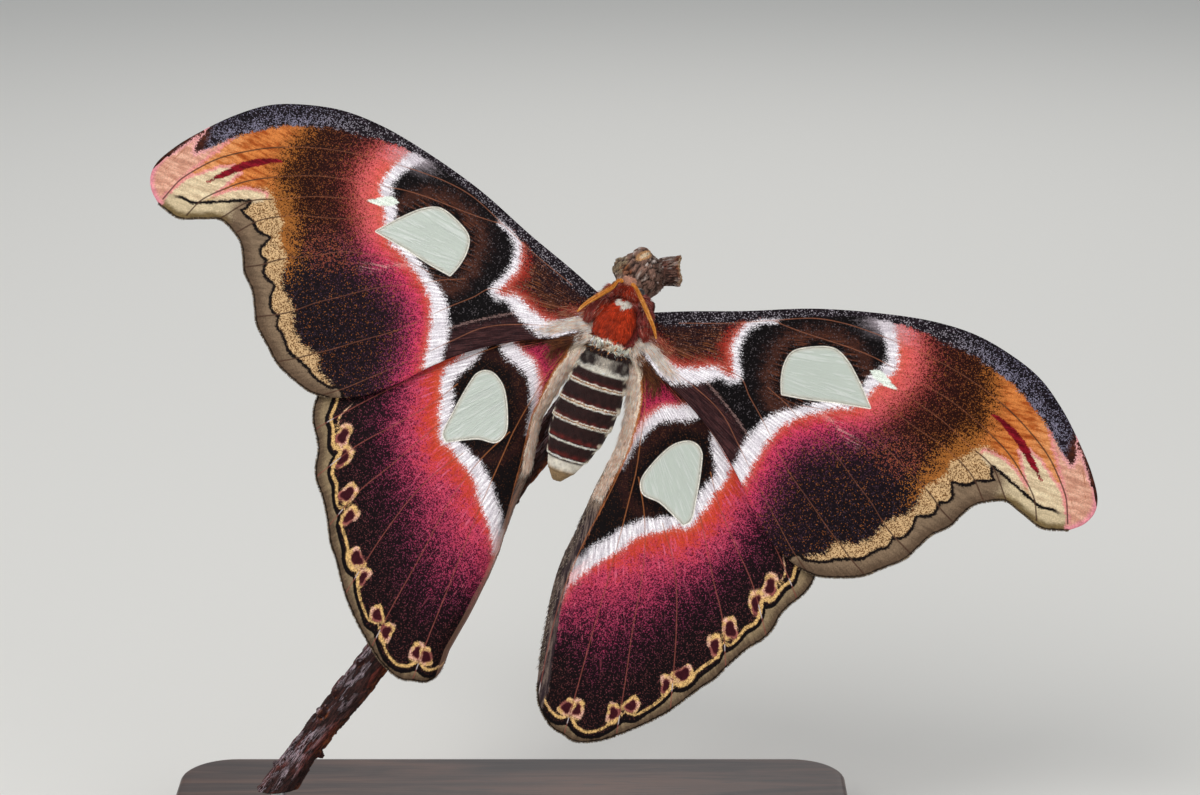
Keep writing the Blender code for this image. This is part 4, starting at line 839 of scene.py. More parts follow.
    # the pink tip and the streak
    tip = p.streaked("cb9078", "d8a68e")
    tip = g.blend(p.line("pinkTip", (0.8, 1.6, 1.2), 1.2, 0.2), tip, "e08a8c")
    tip = g.blend(p.edge("rim", (0.3, 0.6), 1.5, 0.3), tip, "dd8a94")
    beyond = p.edge("pinkTip", (0.6, 1.2, 0.8), -0.3, 0.5)
    p.lay(g.times(beyond, p.edge("cream", (0.5, 1.0, 0.6), 0.6, 0.0)), tip)
    p.lay(p.edge("streak", (0.3, 0.8), -0.15, 0.15), p.streaked("5e0814", "861422"))
    p.whiteLines((1.4, 2.4, -1.8, 0.3), ("dcd3da", look["white"]))
    upper = g.times(p.edge("pmBand", (2.0, 4.0, 4.0), -5.0, 0.5), g.fade("costal", -5.0, -0.5))
    p.lay(upper, "b3a6ad", 0.6)
    p.lay(p.edge("window2", (0.25, 0.3), -0.15, 0.15), "dfe6da")
    # the grizzled leading edge, violet towards its end, where a pink line runs round it
    lilac = g.fade("apex", -16.0, 2.0)
    inner = g.times(p.edge("costal", (0.4, 0.8, 1.5), 3.6, 1.4), lilac)
    pale = g.plus(0.15, g.times(inner, g.remap(p.grain["Clouds"], 0.36, 0.6, 0.05, 0.36)))
    pale = g.times(pale, g.fade("apex", 17.5, 15.0, 0.1, 1.0))
    tone = g.blend(lilac, "9a9299", "807b8e")
    grizzle = g.blend(p.share(pale, "Third", 0.12), p.streaked("120d11", "1f171d"), tone)
    grizzle = g.blend(g.fade("apex", 14.5, 16.5), grizzle, p.streaked("2a1512", "4a2418"))
    p.lay(g.times(p.edge("costal", (0.5, 0.8, 0.8), -0.75, -0.15), g.fade("apex", 13.0, 15.0)), "e9a6a4")
    p.lay(p.edge("costal", (0.6, 1.2, 1.2), -0.3, 0.3), grizzle)
    # veins, the window's rim and the dark outer edge
    line = g.fade("vein", 0.17, 0.04)
    pale = g.fade("apex", -3.0, 1.0)
    beigeOnly = g.sum("MAXIMUM", g.fade("beige", -0.5, 0.5), pale)
    p.lay(g.times(line, g.fade("outer", 0.0, 2.0, 0.6, 0.36)), "925a42")
    p.lay(g.times(g.fade("vein", 0.24, 0.08), beigeOnly), "3e2c22", 0.8)
    p.lay(g.fade("tipLine", 0.2, 0.05), "a5603e", 0.6)
    p.lay(g.fade("pane", 0.36, 0.16), "efe9dc", 0.9)
    p.lay(g.remap(g.plus(g.mark("edge"), g.times(p.fray, 0.5)), 0.5, 0.12), "241a14")
    p.finish(shader)
    return material


def makeHindwingSkin(group):
    look = {
        "medianSpan": 8.0,
        "median": [(0.0, "0a0607"), (0.2, "0e0708"), (0.34, "1e0f0e"), (0.5, "2b1412"), (0.66, "120a0b"),
                   (1.0, "0e090a")],
        "dark": [(0.0, "b0301c"), (0.09, "a02a26"), (0.2, "721c32"), (0.36, "421325"), (0.5, "1f0d14"),
                 (0.7, "150b0e"), (1.0, "130b0d")],
        "light": [(0.0, "c8482c"), (0.1, "c43e34"), (0.19, "c8445e"), (0.36, "a23655"), (0.55, "6e2c44"),
                  (0.75, "5c3032"), (1.0, "4a2c24")],
        "density": [(0.0, 1.0), (0.12, 0.93), (0.22, 0.64), (0.38, 0.38), (0.52, 0.18), (0.7, 0.13),
                    (1.0, 0.12)],
        "white": "f1ecee",
    }
    material, g, shader = startMaterial("hindwingScales")
    p = WingPaint(g, group)
    # the middle field, from the window outwards
    p.colour = g.ramp(g.times(p.rough("pane", 1.4, 3.0, 2.5), 1 / look["medianSpan"]), look["median"])
    p.lay(p.share(g.fade("reach", 60.0, 20.0, 0.03, 0.1), "Third"), "6a3f28", 0.5)
    # the field at the root: brown streaks, with a rosy wedge towards the inner white line
    root = p.streaked("241012", "7a4426", 0.42, 0.66)
    rosy = g.blend(p.share(g.fade("basal", 1.0, 6.0, 0.85, 0.5), "Second"), "5e1226", "b02c4e")
    rosy = g.blend(p.edge("basal", (1.5, 2.5, 1.5), 2.6, 0.3), rosy, "c2524c")
    root = g.blend(p.edge("wedge", (0.8, 2.6, 1.2), -0.9, 0.9), root, rosy)
    p.lay(p.edge("basal", (0.8, 1.4), -0.3, 0.3), root)
    # outside the outer white line the colours run with the share of the way to the wavy line
    zone = g.plus(p.rough("zone", 0.12, 0.16, 0.2), g.fade("innerEdge", 14.0, 4.0, 0.0, 0.12))
    zone = g.minus(zone, g.fade("innerEdge", 13.0, 22.0, 0.0, 0.06))
    outer = p.outerField(zone, look["dark"], look["light"], look["density"])
    outer = g.blend(g.times(g.remap(p.grain["Rays"], 0.62, 0.72), g.fade("zone", 0.75, 0.1)), outer, "c0566a")
    p.lay(p.edge("outer", (0.8, 1.6), -0.3, 0.3), outer)
    p.whiteLines((1.2, 2.2, -1.7, 0.5), ("d3c9d0", look["white"]), g.fade("innerEdge", 2.0, 7.0, 0.35, 1.0))
    # the gold line with its rings, the margin outside it, and the black line between
    gold = g.blend(g.times(g.fade("wavy", -1.2, -2.6), g.remap(p.grain["Clouds"], 0.4, 0.6)),
                   "dcb272", "dcaa94")
    gold = g.blend(g.times(p.share(0.25, "Third"), 0.6), gold, "7c5a3c")
    inside = g.blend(g.fade("core", 0.55, 0.2), "3c121a", "a05a54")
    p.lay(p.edge("core", (0.3, 0.2), -0.3, 0.3), inside, 0.85)
    p.lay(p.edge("gold", (0.2, 0.2), 0.0, 0.3), gold)
    margin = g.blend(p.edge("edge", (0.4, 0.6, 0.6), 0.5, 2.4), "5a4838", "8a765a")
    p.lay(p.edge("wavy", (0.2, 0.2), -0.1, 0.2), margin)
    p.lay(p.line("wavy", (0.16, 0.2), 0.42, 0.26), "0e090a")
    # along the body: cream hair near the root, grey-brown further back
    cream = g.blend(p.edge("back", (2.0, 4.0, 3.0), 25.0, 34.0), p.streaked("dcc6ae", "ecdcc8"),
                    p.streaked("6e5a48", "9c8872"))
    cream = g.blend(p.edge("back", (2.0, 4.0, 3.0), 34.0, 46.0), cream, p.streaked("31262a", "6c5c54"))
    p.lay(p.edge("innerEdge", (0.4, 0.8, 0.5), 3.1, 2.6), cream)
    rusty = g.remap(g.size(g.minus(p.rough("innerEdge", 0.3, 0.5, 0.4), 2.95)), 0.34, 0.12)
    p.lay(g.times(rusty, g.fade("back", 40.0, 28.0)), "a8602c", 0.85)
    # veins, the window's rim and the dark outer edge
    p.lay(g.fade("vein", 0.19, 0.05), g.blend(g.fade("outer", -1.0, 2.0), "a2623a", "8e4c42"), 0.6)
    p.lay(g.times(g.fade("vein", 0.14, 0.06), g.remap(g.size(g.plus(g.mark("wavy"), 0.8)), 0.9, 0.5)),
          "cfcac8", 0.7)
    p.lay(g.fade("pane", 0.36, 0.16), "efe9dc", 0.9)
    p.lay(g.remap(g.plus(g.mark("edge"), g.times(p.fray, 0.5)), 0.5, 0.15), "201812")
    p.finish(shader)
    return material


def makeWindowSkin():
    look = {"glass": "d6ded3", "creaseHighlight": "f6f8f4", "rim": "dcd3c4", "roughness": 0.28, "clear": 0.35}
    material, g, shader = startMaterial("wingWindow")
    ray = g.node("ShaderNodeUVMap", {"uv_map": "rayMap"}).outputs[0]
    folds = g.noise(g.stretch(ray, (9.0, 60.0, 1.0)), 1.0, 4.0, "2D", Roughness=0.6, Distortion=1.2)
    # the pale streaks along the folds are painted highlights
    colour = g.blend(g.times(g.remap(folds, 0.52, 0.62), 0.45), look["glass"], look["creaseHighlight"])
    colour = g.blend(g.times(g.fade("paneRim", 0.9, 0.1), 0.5), colour, look["rim"])
    g.feed(shader, Base_Color=colour, Roughness=look["roughness"], Transmission_Weight=look["clear"],
           Normal=g.bump(folds, 0.6, 0.0004))
    return material


# the body: one skin for head, thorax, tegulae, abdomen and legs
bodyShape = {
    "thorax": [(1.7, 2.4, 2.8, -0.6), (0.9, 3.6, 3.7, -0.4), (-0.6, 4.8, 4.8, -0.2), (-2.4, 5.8, 5.6, -0.1),
               (-4.4, 6.3, 6.0, -0.1), (-6.4, 6.0, 5.8, -0.2), (-8.0, 5.3, 5.2, -0.3),
               (-9.6, 4.3, 4.4, -0.4)],
    "head": [(0.9, 2.6, 2.5, -0.8), (2.3, 3.1, 2.9, -0.9), (3.5, 2.7, 2.6, -1.0), (4.7, 2.1, 2.1, -1.1),
             (5.7, 1.5, 1.5, -1.3), (6.3, 0.8, 0.8, -1.4)],
    "abdomen": [(-9.2, 4.0), (-11.0, 4.9), (-14.0, 5.8), (-17.4, 6.4), (-21.8, 6.8), (-25.9, 6.6),
                (-30.2, 5.8), (-33.8, 4.6), (-37.2, 2.9), (-39.3, 1.3)],
    "rings": [-14.0, -17.4, -21.8, -25.9, -30.2, -33.8, -37.2],
    "flatten": 0.93,
    "sag": -1.6,
    "bend": -1.9,
    "axisAt": (-9.7, -0.4),  # where the abdomen's bend starts, and its height there
    "headLean": (0.28, 0.9, 5.0),  # slope to the left, from where, over what length
    "rimStep": 0.28,
    "rimTilt": 0.14,
    "coat": {"thorax": 0.9, "head": 0.55, "abdomen": 0.3, "tegula": 0.45, "leg": 0.3},
    "tegulaHalf": (1.9, 3.5, 1.7),
    "tegulaAt": (5.4, -1.9, 2.9),
    "tegulaTurn": (20, 34),
    # place, half sizes and shift to the left
    "lumps": {"palp": ((0.75, 5.5, -2.3), (0.5, 0.9, 0.6), 1.2),
              "neck": ((3.3, 1.7, -0.6), (1.6, 1.5, 1.5), 0.2)},
    "voxel": 0.27,
}
twigShape = {
    "path": [(-80.9, -111.5, -14.5), (-75.9, -105.0, -14.5), (-67.3, -92.9, -14.3), (-58.7, -82.2, -14.1),
             (-39.7, -57.4, -13.6), (-20.4, -32.8, -13.2), (-6.6, -13.5, -13.0), (1.5, 0.5, -13.0),
             (4.0, 6.0, -13.0)],
    "footRadius": 3.55,
    "topRadius": 3.3,
    "cutBelow": 103.5,
    "knobAt": (3.4, 7.1, -13.2),
    "knobHalf": (5.4, 5.2, 4.9),
    "stub": [(4.6, 7.2, -13.2), (8.8, 8.0, -13.1), (12.2, 8.3, -13.0)],
    "stubRadius": 3.0,
    # place, half sizes and turn of what swells on the knob
    "bumps": [("scar", (3.6, 11.4, -12.0), (2.4, 1.7, 2.2), 0.4),
              ("burl", (-0.7, 8.5, -12.4), (1.9, 2.4, 2.4), 0.0),
              ("nub", (5.6, 4.0, -12.4), (1.0, 0.9, 1.2), 0.0)],
    # how far along, how far round from the front towards the left, and radius
    "buds": [(0.301, 46, 1.05), (0.237, 44, 0.9), (0.204, 40, 1.4), (0.15, -70, 1.0), (0.1, 78, 0.9),
             (0.36, -150, 1.1), (0.47, 160, 1.0), (0.62, -120, 0.9)],
    "voxel": 0.3,
}
legShape = {
    "legs": [("front", (2.0, 0.6, -4.6), (4.6, 2.6, -7.4), 0.6),
             ("middle", (2.6, -3.2, -5.4), (6.6, -2.6, -8.2), -4.8),
             ("hind", (2.4, -6.6, -5.2), (6.4, -9.0, -8.0), -11.0)],
    "radii": (1.05, 0.95, 0.75, 0.6, 0.5, 0.42),
    "hold": 4.37,  # from the twig's axis to the shin's
    "thinnest": 0.36,
    "toeTurn": 74.0,
}


def addObject(name, data):
    obj = bpy.data.objects.new(name, data)
    bpy.context.scene.collection.objects.link(obj)
    return obj


def addMesh(name, points, faces, matrix=None):
    mesh = bpy.data.meshes.new(name)
    placed = toWorld(points, matrix) if matrix is not None else np.asarray(points, float)
    mesh.from_pydata(placed.tolist(), [], faces)
    mesh.update()
    return addObject(name, mesh)


def ringsBody(name, rings, matrix):
    # a closed body through rings of points, both ends closed by a fan
    count = len(rings[0])
    points = np.concatenate([*rings, [np.mean(rings[0], axis=0)], [np.mean(rings[-1], axis=0)]])
    last = (len(rings) - 1) * count
    faces = []
    for row in range(0, last, count):
        pairs = [(row + k, row + (k + 1) % count) for k in range(count)]
        faces += [(a, b, b + count, a + count) for a, b in pairs]
    faces += [(len(points) - 2, (k + 1) % count, k) for k in range(count)]
    faces += [(len(points) - 1, last + k, last + (k + 1) % count) for k in range(count)]
    obj = addMesh(name, points, faces, matrix)
    faceOutward(obj)
    return obj


def faceOutward(obj):
    shape = bmesh.new()
    shape.from_mesh(obj.data)
    bmesh.ops.recalc_face_normals(shape, faces=shape.faces)
    shape.to_mesh(obj.data)
    shape.free()


def ellipseRing(x, v, z, halfWide, halfDeep, sides):
    turn = np.arange(sides) * 2 * np.pi / sides
    return np.stack([x + halfWide * np.cos(turn), np.full(sides, v), z + halfDeep * np.sin(turn)], axis=1)


def tubeRings(path, radii, sides):
    rings = []
    across = None
    for k, at in enumerate(path):
        along = Vector(path[min(k + 1, len(path) - 1)] - path[max(k - 1, 0)]).normalized()
        across = along.orthogonal() if across is None else across - along * across.dot(along)
        across.normalize()
        other = along.cross(across)
        radius = np.interp(k / (len(path) - 1), np.linspace(0, 1, len(radii)), radii)
        turn = np.arange(sides) * 2 * np.pi / sides
        rings.append(at + radius * (np.outer(np.cos(turn), across) + np.outer(np.sin(turn), other)))
    return rings


def addEllipsoid(name, at, half, turn, matrix, segments=32):
    # a ball from Blender's own primitive, stretched and turned into place
    bpy.ops.object.select_all(action="DESELECT")
    bpy.ops.mesh.primitive_uv_sphere_add(segments=segments, ring_count=segments // 2, radius=1.0)
    obj = bpy.context.object
    obj.name = name
    place = Matrix.Translation(at) @ turn @ Matrix.Diagonal((*half, 1))
    obj.data.transform(Matrix.Scale(mm, 4) @ matrix @ place)
    return obj


def joinPieces(pieces, name):
    # the first piece takes in the others
    bpy.ops.object.select_all(action="DESELECT")
    for piece in pieces:
        piece.select_set(True)
    bpy.context.view_layer.objects.active = pieces[0]
    bpy.ops.object.join()
    pieces[0].name = name
    return pieces[0]


def fuse(pieces, name, voxel):
    # joins closed pieces and gives them one even net, so that no seam is left between them
    obj = joinPieces(pieces, name)
    remesh = obj.modifiers.new("even net", "REMESH")
    remesh.mode = "VOXEL"
    remesh.voxel_size = voxel * mm
    bpy.ops.object.modifier_apply(modifier=remesh.name)
    obj.data.shade_smooth()
    return obj


def abdomenStep(v):
    # each segment swells towards its hind rim and steps down behind it
    starts = [bodyShape["abdomen"][0][0]] + [ring - 0.35 for ring in bodyShape["rings"]]
    step = np.zeros(len(v))
    for start, rim in zip(starts, bodyShape["rings"]):
        share = (start - v) / (start - rim)
        inside = (v <= start) & (v >= rim)
        step = np.where(inside, bodyShape["rimStep"] * (share ** 1.5 * 1.2 - 0.3), step)
    return step


def abdomenAxis(v):
    start, level = bodyShape["axisAt"]
    share = np.clip((start - v) / (start - bodyShape["abdomen"][-1][0]), 0, 1.1)
    return bodyShape["bend"] * share ** 1.6, level + bodyShape["sag"] * share ** 1.5


def onTwig(v, angle, clear):
    # the point at `clear` from the twig's axis, level with v on the body; angle 0 is its right flank
    back = mothFrame.inverted() @ displayFrame
    path = [back @ Vector(p) for p in twigShape["path"]]
    for a, b in zip(path, path[1:]):
        if a.y <= v <= b.y:
            at = a.lerp(b, (v - a.y) / (b.y - a.y))
            along = (b - a).normalized()
            break
    across = (Vector((1, 0, 0)) - along * along.x).normalized()
    behind = along.cross(across).normalized()
    if behind.z > 0:
        behind = -behind
    return at + (across * math.cos(angle) + behind * math.sin(angle)) * clear


def legPaths():
    hold, toe = legShape["hold"], legShape["toeTurn"]
    paths = {}
    for name, root, knee, grip in legShape["legs"]:
        for side, word in sides.items():
            bend = Vector((side * knee[0], knee[1], knee[2]))
            bend.x += onTwig(grip, 0, 0).x * 0.8

            def around(turn, rise, clear=hold):
                turn = math.radians(turn)
                return onTwig(grip + rise, turn if side > 0 else math.pi - turn, clear)

            stops = [Vector((side * root[0], root[1], root[2])), bend, around(-12, 0.0, hold + 0.5),
                     around(toe * 0.35, 0.5), around(toe * 0.7, 0.9), around(toe, 1.2)]
            paths[f"leg_{name}_{word}"] = smoothPath(stops, 0.5)
    return paths


def headLean(v):
    # how far the head leans to the left
    slope, start, reach = bodyShape["headLean"]
    return -slope * np.clip(v - start, 0.0, reach)


def makeBodySkin(skinMaterial):
    coat = bodyShape["coat"]
    pieces = []
    for key in ("thorax", "head"):
        stations = np.array(bodyShape[key])
        v = np.linspace(stations[0][0], stations[-1][0], 24)
        order = np.argsort(stations[:, 0])
        wide, deep, middle = (np.interp(v, stations[order, 0], stations[order, n]) for n in (1, 2, 3))
        rings = [ellipseRing(headLean(a), a, d, max(b - coat[key], 0.3), max(c - coat[key], 0.3), 40)
                 for a, b, c, d in zip(v, wide, deep, middle)]
        pieces.append(ringsBody(key + "Core", rings, mothFrame))
    profile = smoothPath([Vector(p) for p in bodyShape["abdomen"]], 0.25)
    v = profile[:, 0]
    half = profile[:, 1] + abdomenStep(v) - coat["abdomen"]
    x, z = abdomenAxis(v)
    rings = [ellipseRing(a, b, c, h, h * bodyShape["flatten"], 56) for a, b, c, h in zip(x, v, z, half)]
    for ring, middle in zip(rings, z):
        ring[:, 1] -= bodyShape["rimTilt"] * (ring[:, 2] - middle)
    pieces.append(ringsBody("abdomenCore", rings, mothFrame))
    for side in sides:
        outward, down = bodyShape["tegulaTurn"]
        turn = turnBy(side * outward, "Z") @ turnBy(side * down, "Y")
        at = (side * bodyShape["tegulaAt"][0], *bodyShape["tegulaAt"][1:])
        half = [h - coat["tegula"] for h in bodyShape["tegulaHalf"]]
        pieces.append(addEllipsoid("tegulaCore", at, half, turn, mothFrame))
        for name, ((x, v, z), size, shift) in bodyShape["lumps"].items():
            pieces.append(addEllipsoid(name, (side * x - shift, v, z), size, Matrix(), mothFrame))
    for name, path in legPaths().items():
        radii = [max(r - coat["leg"], legShape["thinnest"]) for r in legShape["radii"]]
        pieces.append(ringsBody(name, tubeRings(path, radii, 16), mothFrame))
    skin = fuse(pieces, "body_skin", bodyShape["voxel"])
    setColours(skin.data, bodyColour(toLocal(skin, mothFrame)))
    skin.data.materials.append(skinMaterial)
    finish(skin, "red_fur", "head", "thorax", "tegula_left", "tegula_right", "abdomen",
           *[f"leg_{name[0]}_{word}" for name in legShape["legs"] for word in sides.values()])
    print("body skin made", len(skin.data.polygons))
    return skin


def setColours(mesh, colours):
    layer = mesh.attributes.new("coatColour", "FLOAT_COLOR", "POINT")
    rgba = np.concatenate([colours, np.ones((len(colours), 1))], axis=1).astype(np.float32)
    layer.data.foreach_set("color", rgba.ravel())


coatPaint = {
    "red": "a83218", "redBright": "c63e1c", "white": "f6efe2", "shag": "fcead6",
    # the near-black red is a painted shade, laid in partings and gaps of the fur
    "mauve": "7c2e32", "frons": "e4ac92", "gapShade": "340e0c",
    "abdomen": "2a1716", "abdomenRed": "6e2420", "purple": "33211f", "ring": "f4ecdc", "gold": "9a6428",
    "greyBrown": "3a2e2c", "segment": "cfc4b6", "tail": "a08460", "side": "d8cdb8",
    "leg": "50180f", "under": "7a4a36",
    "orange": "c98850", "headBright": "dc4c2c", "cloakRed": "a84a3c", "cloakPink": "d09a88",
}


def bodyColour(p):
    # the coat's colour at points of the moth's frame: the skin under it carries the same markings
    x, v, z = p[:, 0] - headLean(p[:, 1]), p[:, 1], p[:, 2]
    tone = tones(coatPaint)
    wobble = 0.5 * np.sin(3.1 * x + 1.7 * v) + 0.5 * np.sin(2.3 * v - 1.9 * x + 2.0 * z)

    def lay(base, mask, key):
        return base + (tone[key] - base) * np.clip(mask, 0, 1)[:, None]

    made = np.tile(tone["red"], (len(p), 1))
    # head: pale between the antennae, painted shade along a parting down the middle and in the join to the
    # thorax, mauve at the sides
    made = lay(made, rising(v + 0.2 * wobble, 4.4, 5.2) * rising(-np.abs(x), -1.9, -1.2) * 0.9, "frons")
    made = lay(made, np.exp(-x ** 2 / 0.06) * rising(v, 2.6, 3.4) * rising(-v, -4.8, -4.2) * 0.7, "gapShade")
    made = lay(made, rising(np.abs(x + 0.1), 2.0, 3.2) * rising(v, -0.5, 0.8) * 0.8, "mauve")
    made = lay(made, np.exp(-((v - 1.7) / 0.35) ** 2) * rising(z, 0, 2) * 0.7, "gapShade")
    # thorax: a bright shield, painted shade in the gaps beside it, mauve over the wing roots
    shield = ((np.abs(x + 0.75) / 4.2) ** 2.6 + (np.abs(v + 4.0) / 4.4) ** 2.6) ** (1 / 2.6)
    onThorax = rising(-v, -1.4, -0.4) * rising(v, -8.8, -8.0)
    made = lay(made, rising(-shield, -1.04, -0.86) * rising(z, 0.5, 2.0) * 0.95, "redBright")
    made = lay(made, rising(shield, 1.02, 1.18) * onThorax * 0.85, "mauve")
    # painted shade in a narrow gap round the shield's edge
    gapShade = np.exp(-((shield - 1.05) / 0.045) ** 2) * onThorax
    made = lay(made, gapShade * rising(-v, -0.5, 0.8) * 0.85, "gapShade")
    made = lay(made, rising(np.abs(x + 0.5), 5.0, 6.2) * rising(-v, 1.5, 4.0) * onThorax * 0.5, "red")
    spot = np.maximum(rising(-np.hypot((x + 1.35) / 0.62, (v - 0.4) / 0.95), -1.15, -0.8),
                      rising(-np.hypot((x - 0.5) / 1.05, (v - 0.35) / 0.85), -1.15, -0.8))
    spot = np.maximum(spot, rising(-np.hypot((x - 0.1) / 0.6, (v + 0.55) / 0.6), -1.15, -0.7))
    spot = np.maximum(spot, rising(-np.hypot((x + 0.5) / 0.9, (v - 0.3) / 0.55), -1.15, -0.75))
    made = lay(made, spot * (z > 1.5), "white")
    shag = rising(-v - 0.25 * wobble, 7.6, 8.1) * rising(v, -10.9, -10.5)
    made = lay(made, shag, "shag")
    made = lay(made, np.exp(-((x + 0.7) / 0.9) ** 2 - ((v + 9.2) / 0.5) ** 2) * 0.8, "gold")
    # abdomen: dark bands, redder towards their hind rims, with a white ring at each rim
    back = v < -10.3
    axis, level = abdomenAxis(v)
    v = np.where(back, v + bodyShape["rimTilt"] * (z - level), v)
    made = np.where(back[:, None], np.tile(tone["abdomen"], (len(p), 1)), made)
    made = lay(made, (0.5 + 0.5 * wobble) * 0.4 * back, "purple")
    made = lay(made, rising(-v, 10.8, 11.3) * rising(v, -14.6, -14.1), "segment")
    made = lay(made, rising(-v - 0.2 * wobble, 13.0, 13.5) * rising(v, -14.6, -14.1), "white")
    blotch = np.maximum(rising(-np.hypot((x + 3.9) / 3.2, (v + 12.2) / 1.7), -1.25, -0.5),
                        rising(-np.hypot((x - 4.1) / 2.8, (v + 12.3) / 1.8), -1.25, -0.5))
    made = lay(made, (blotch * (1.0 + 0.35 * wobble) - 0.1) * back, "greyBrown")
    for number, rim in enumerate(bodyShape["rings"][:-1]):
        edge = v - rim - 0.1 * wobble
        before = rising(edge, 0.2, 0.4) * rising(-edge, -1.6, -0.4) * (0.65 + 0.3 * wobble)
        made = lay(made, before * (number > 0), "abdomenRed")
        made = lay(made, rising(edge, -0.35, -0.22) * rising(-edge, -0.12, -0.02), "ring")
        if 0 < number < 4:
            made = lay(made, rising(edge, 0.0, 0.08) * rising(-edge, -0.46, -0.38) * 0.95, "gold")
            made = lay(made, rising(edge, 0.38, 0.44) * rising(-edge, -0.62, -0.54), "ring")
    profile = np.array(bodyShape["abdomen"])
    flank = np.abs(x - axis) / np.interp(-v, -profile[:, 0], profile[:, 1])
    toRing = np.minimum.reduce([np.abs(v - rim) for rim in bodyShape["rings"]])
    side = rising(flank + 0.05 * wobble, 0.88, 0.95) * back * rising(-v, 13.5, 14.5)
    made = lay(made, side * rising(-toRing, -1.6, -0.7), "side")
    made = lay(made, rising(-v, 34.2, 34.8) * 0.85, "ring")
    made = lay(made, rising(-v, 36.0, 37.2), "tail")
    # the underside and the legs
    made = lay(made, rising(-z, 2.4, 4.0) * rising(v, -10, -9) * 0.5, "under")
    made = lay(made, rising(-z, 5.4, 6.4) * rising(v, -20, -16), "leg")
    return np.clip(made * (1 + 0.08 * wobble)[:, None], 0, 1)


coatShape = {
    # for each area: tufts, shortest and longest, half width, lift off the skin, spread of their ways
    "thorax": (10000, 1.5, 2.3, 0.12, 0.34, 0.16),
    "head": (6000, 0.6, 1.1, 0.08, 0.42, 0.26),
    "cloak": (4600, 1.5, 2.3, 0.1, 0.3, 0.16),
    "tegula": (4200, 1.6, 2.4, 0.1, 0.2, 0.12),
    "shag": (2200, 1.3, 2.6, 0.2, 0.5, 0.5),
    "waist": (3000, 0.7, 1.4, 0.1, 0.28, 0.26),
    "abdomen": (17000, 0.4, 0.6, 0.085, 0.12, 0.1),
    "rings": (5200, 0.22, 0.42, 0.065, 0.45, 0.26),
    "under": (8000, 1.2, 2.0, 0.09, 0.3, 0.2),
    "leg": (6000, 0.35, 0.7, 0.06, 0.26, 0.22),
}


def sampleSkin(skin, amount, area):
    # random roots on the skin, thicker where the area's weight is larger
    mesh = skin.data
    mesh.calc_loop_triangles()
    faces = np.empty(len(mesh.loop_triangles) * 3, np.int32)
    mesh.loop_triangles.foreach_get("vertices", faces)
    faces = faces.reshape(-1, 3)
    normals = normalsOf(skin, mothFrame)
    corners = toLocal(skin, mothFrame)[faces]
    size = np.linalg.norm(np.cross(corners[:, 1] - corners[:, 0], corners[:, 2] - corners[:, 0]), axis=1)
    weight = size * coatWeight(area, corners.mean(axis=1), normals[faces].mean(axis=1))
    picked = rng.choice(len(faces), amount, p=weight / weight.sum())
    a, b = rng.random((2, amount))
    over = a + b > 1
    a[over], b[over] = 1 - a[over], 1 - b[over]
    share = np.stack([1 - a - b, a, b], axis=1)
    roots = (corners[picked] * share[:, :, None]).sum(axis=1)
    up = (normals[faces[picked]] * share[:, :, None]).sum(axis=1)
    return roots, up / np.linalg.norm(up, axis=1, keepdims=True)


tuftShape = {
    "sink": 0.12,  # how deep a root sits under the skin, millimetres
    "middle": 0.8,  # width half way up, as a share of the root's
    # the tones below are painted shading along each tuft: painted shade at the root, painted light at the tip
    "tones": (0.4, 0.9, 1.25),  # a dark tuft's shade at root, middle and tip
    "paleTones": (1.0, 1.06),  # a pale tuft's at middle and tip
    "patch": 0.003,  # each tuft's patch on the bake map
}


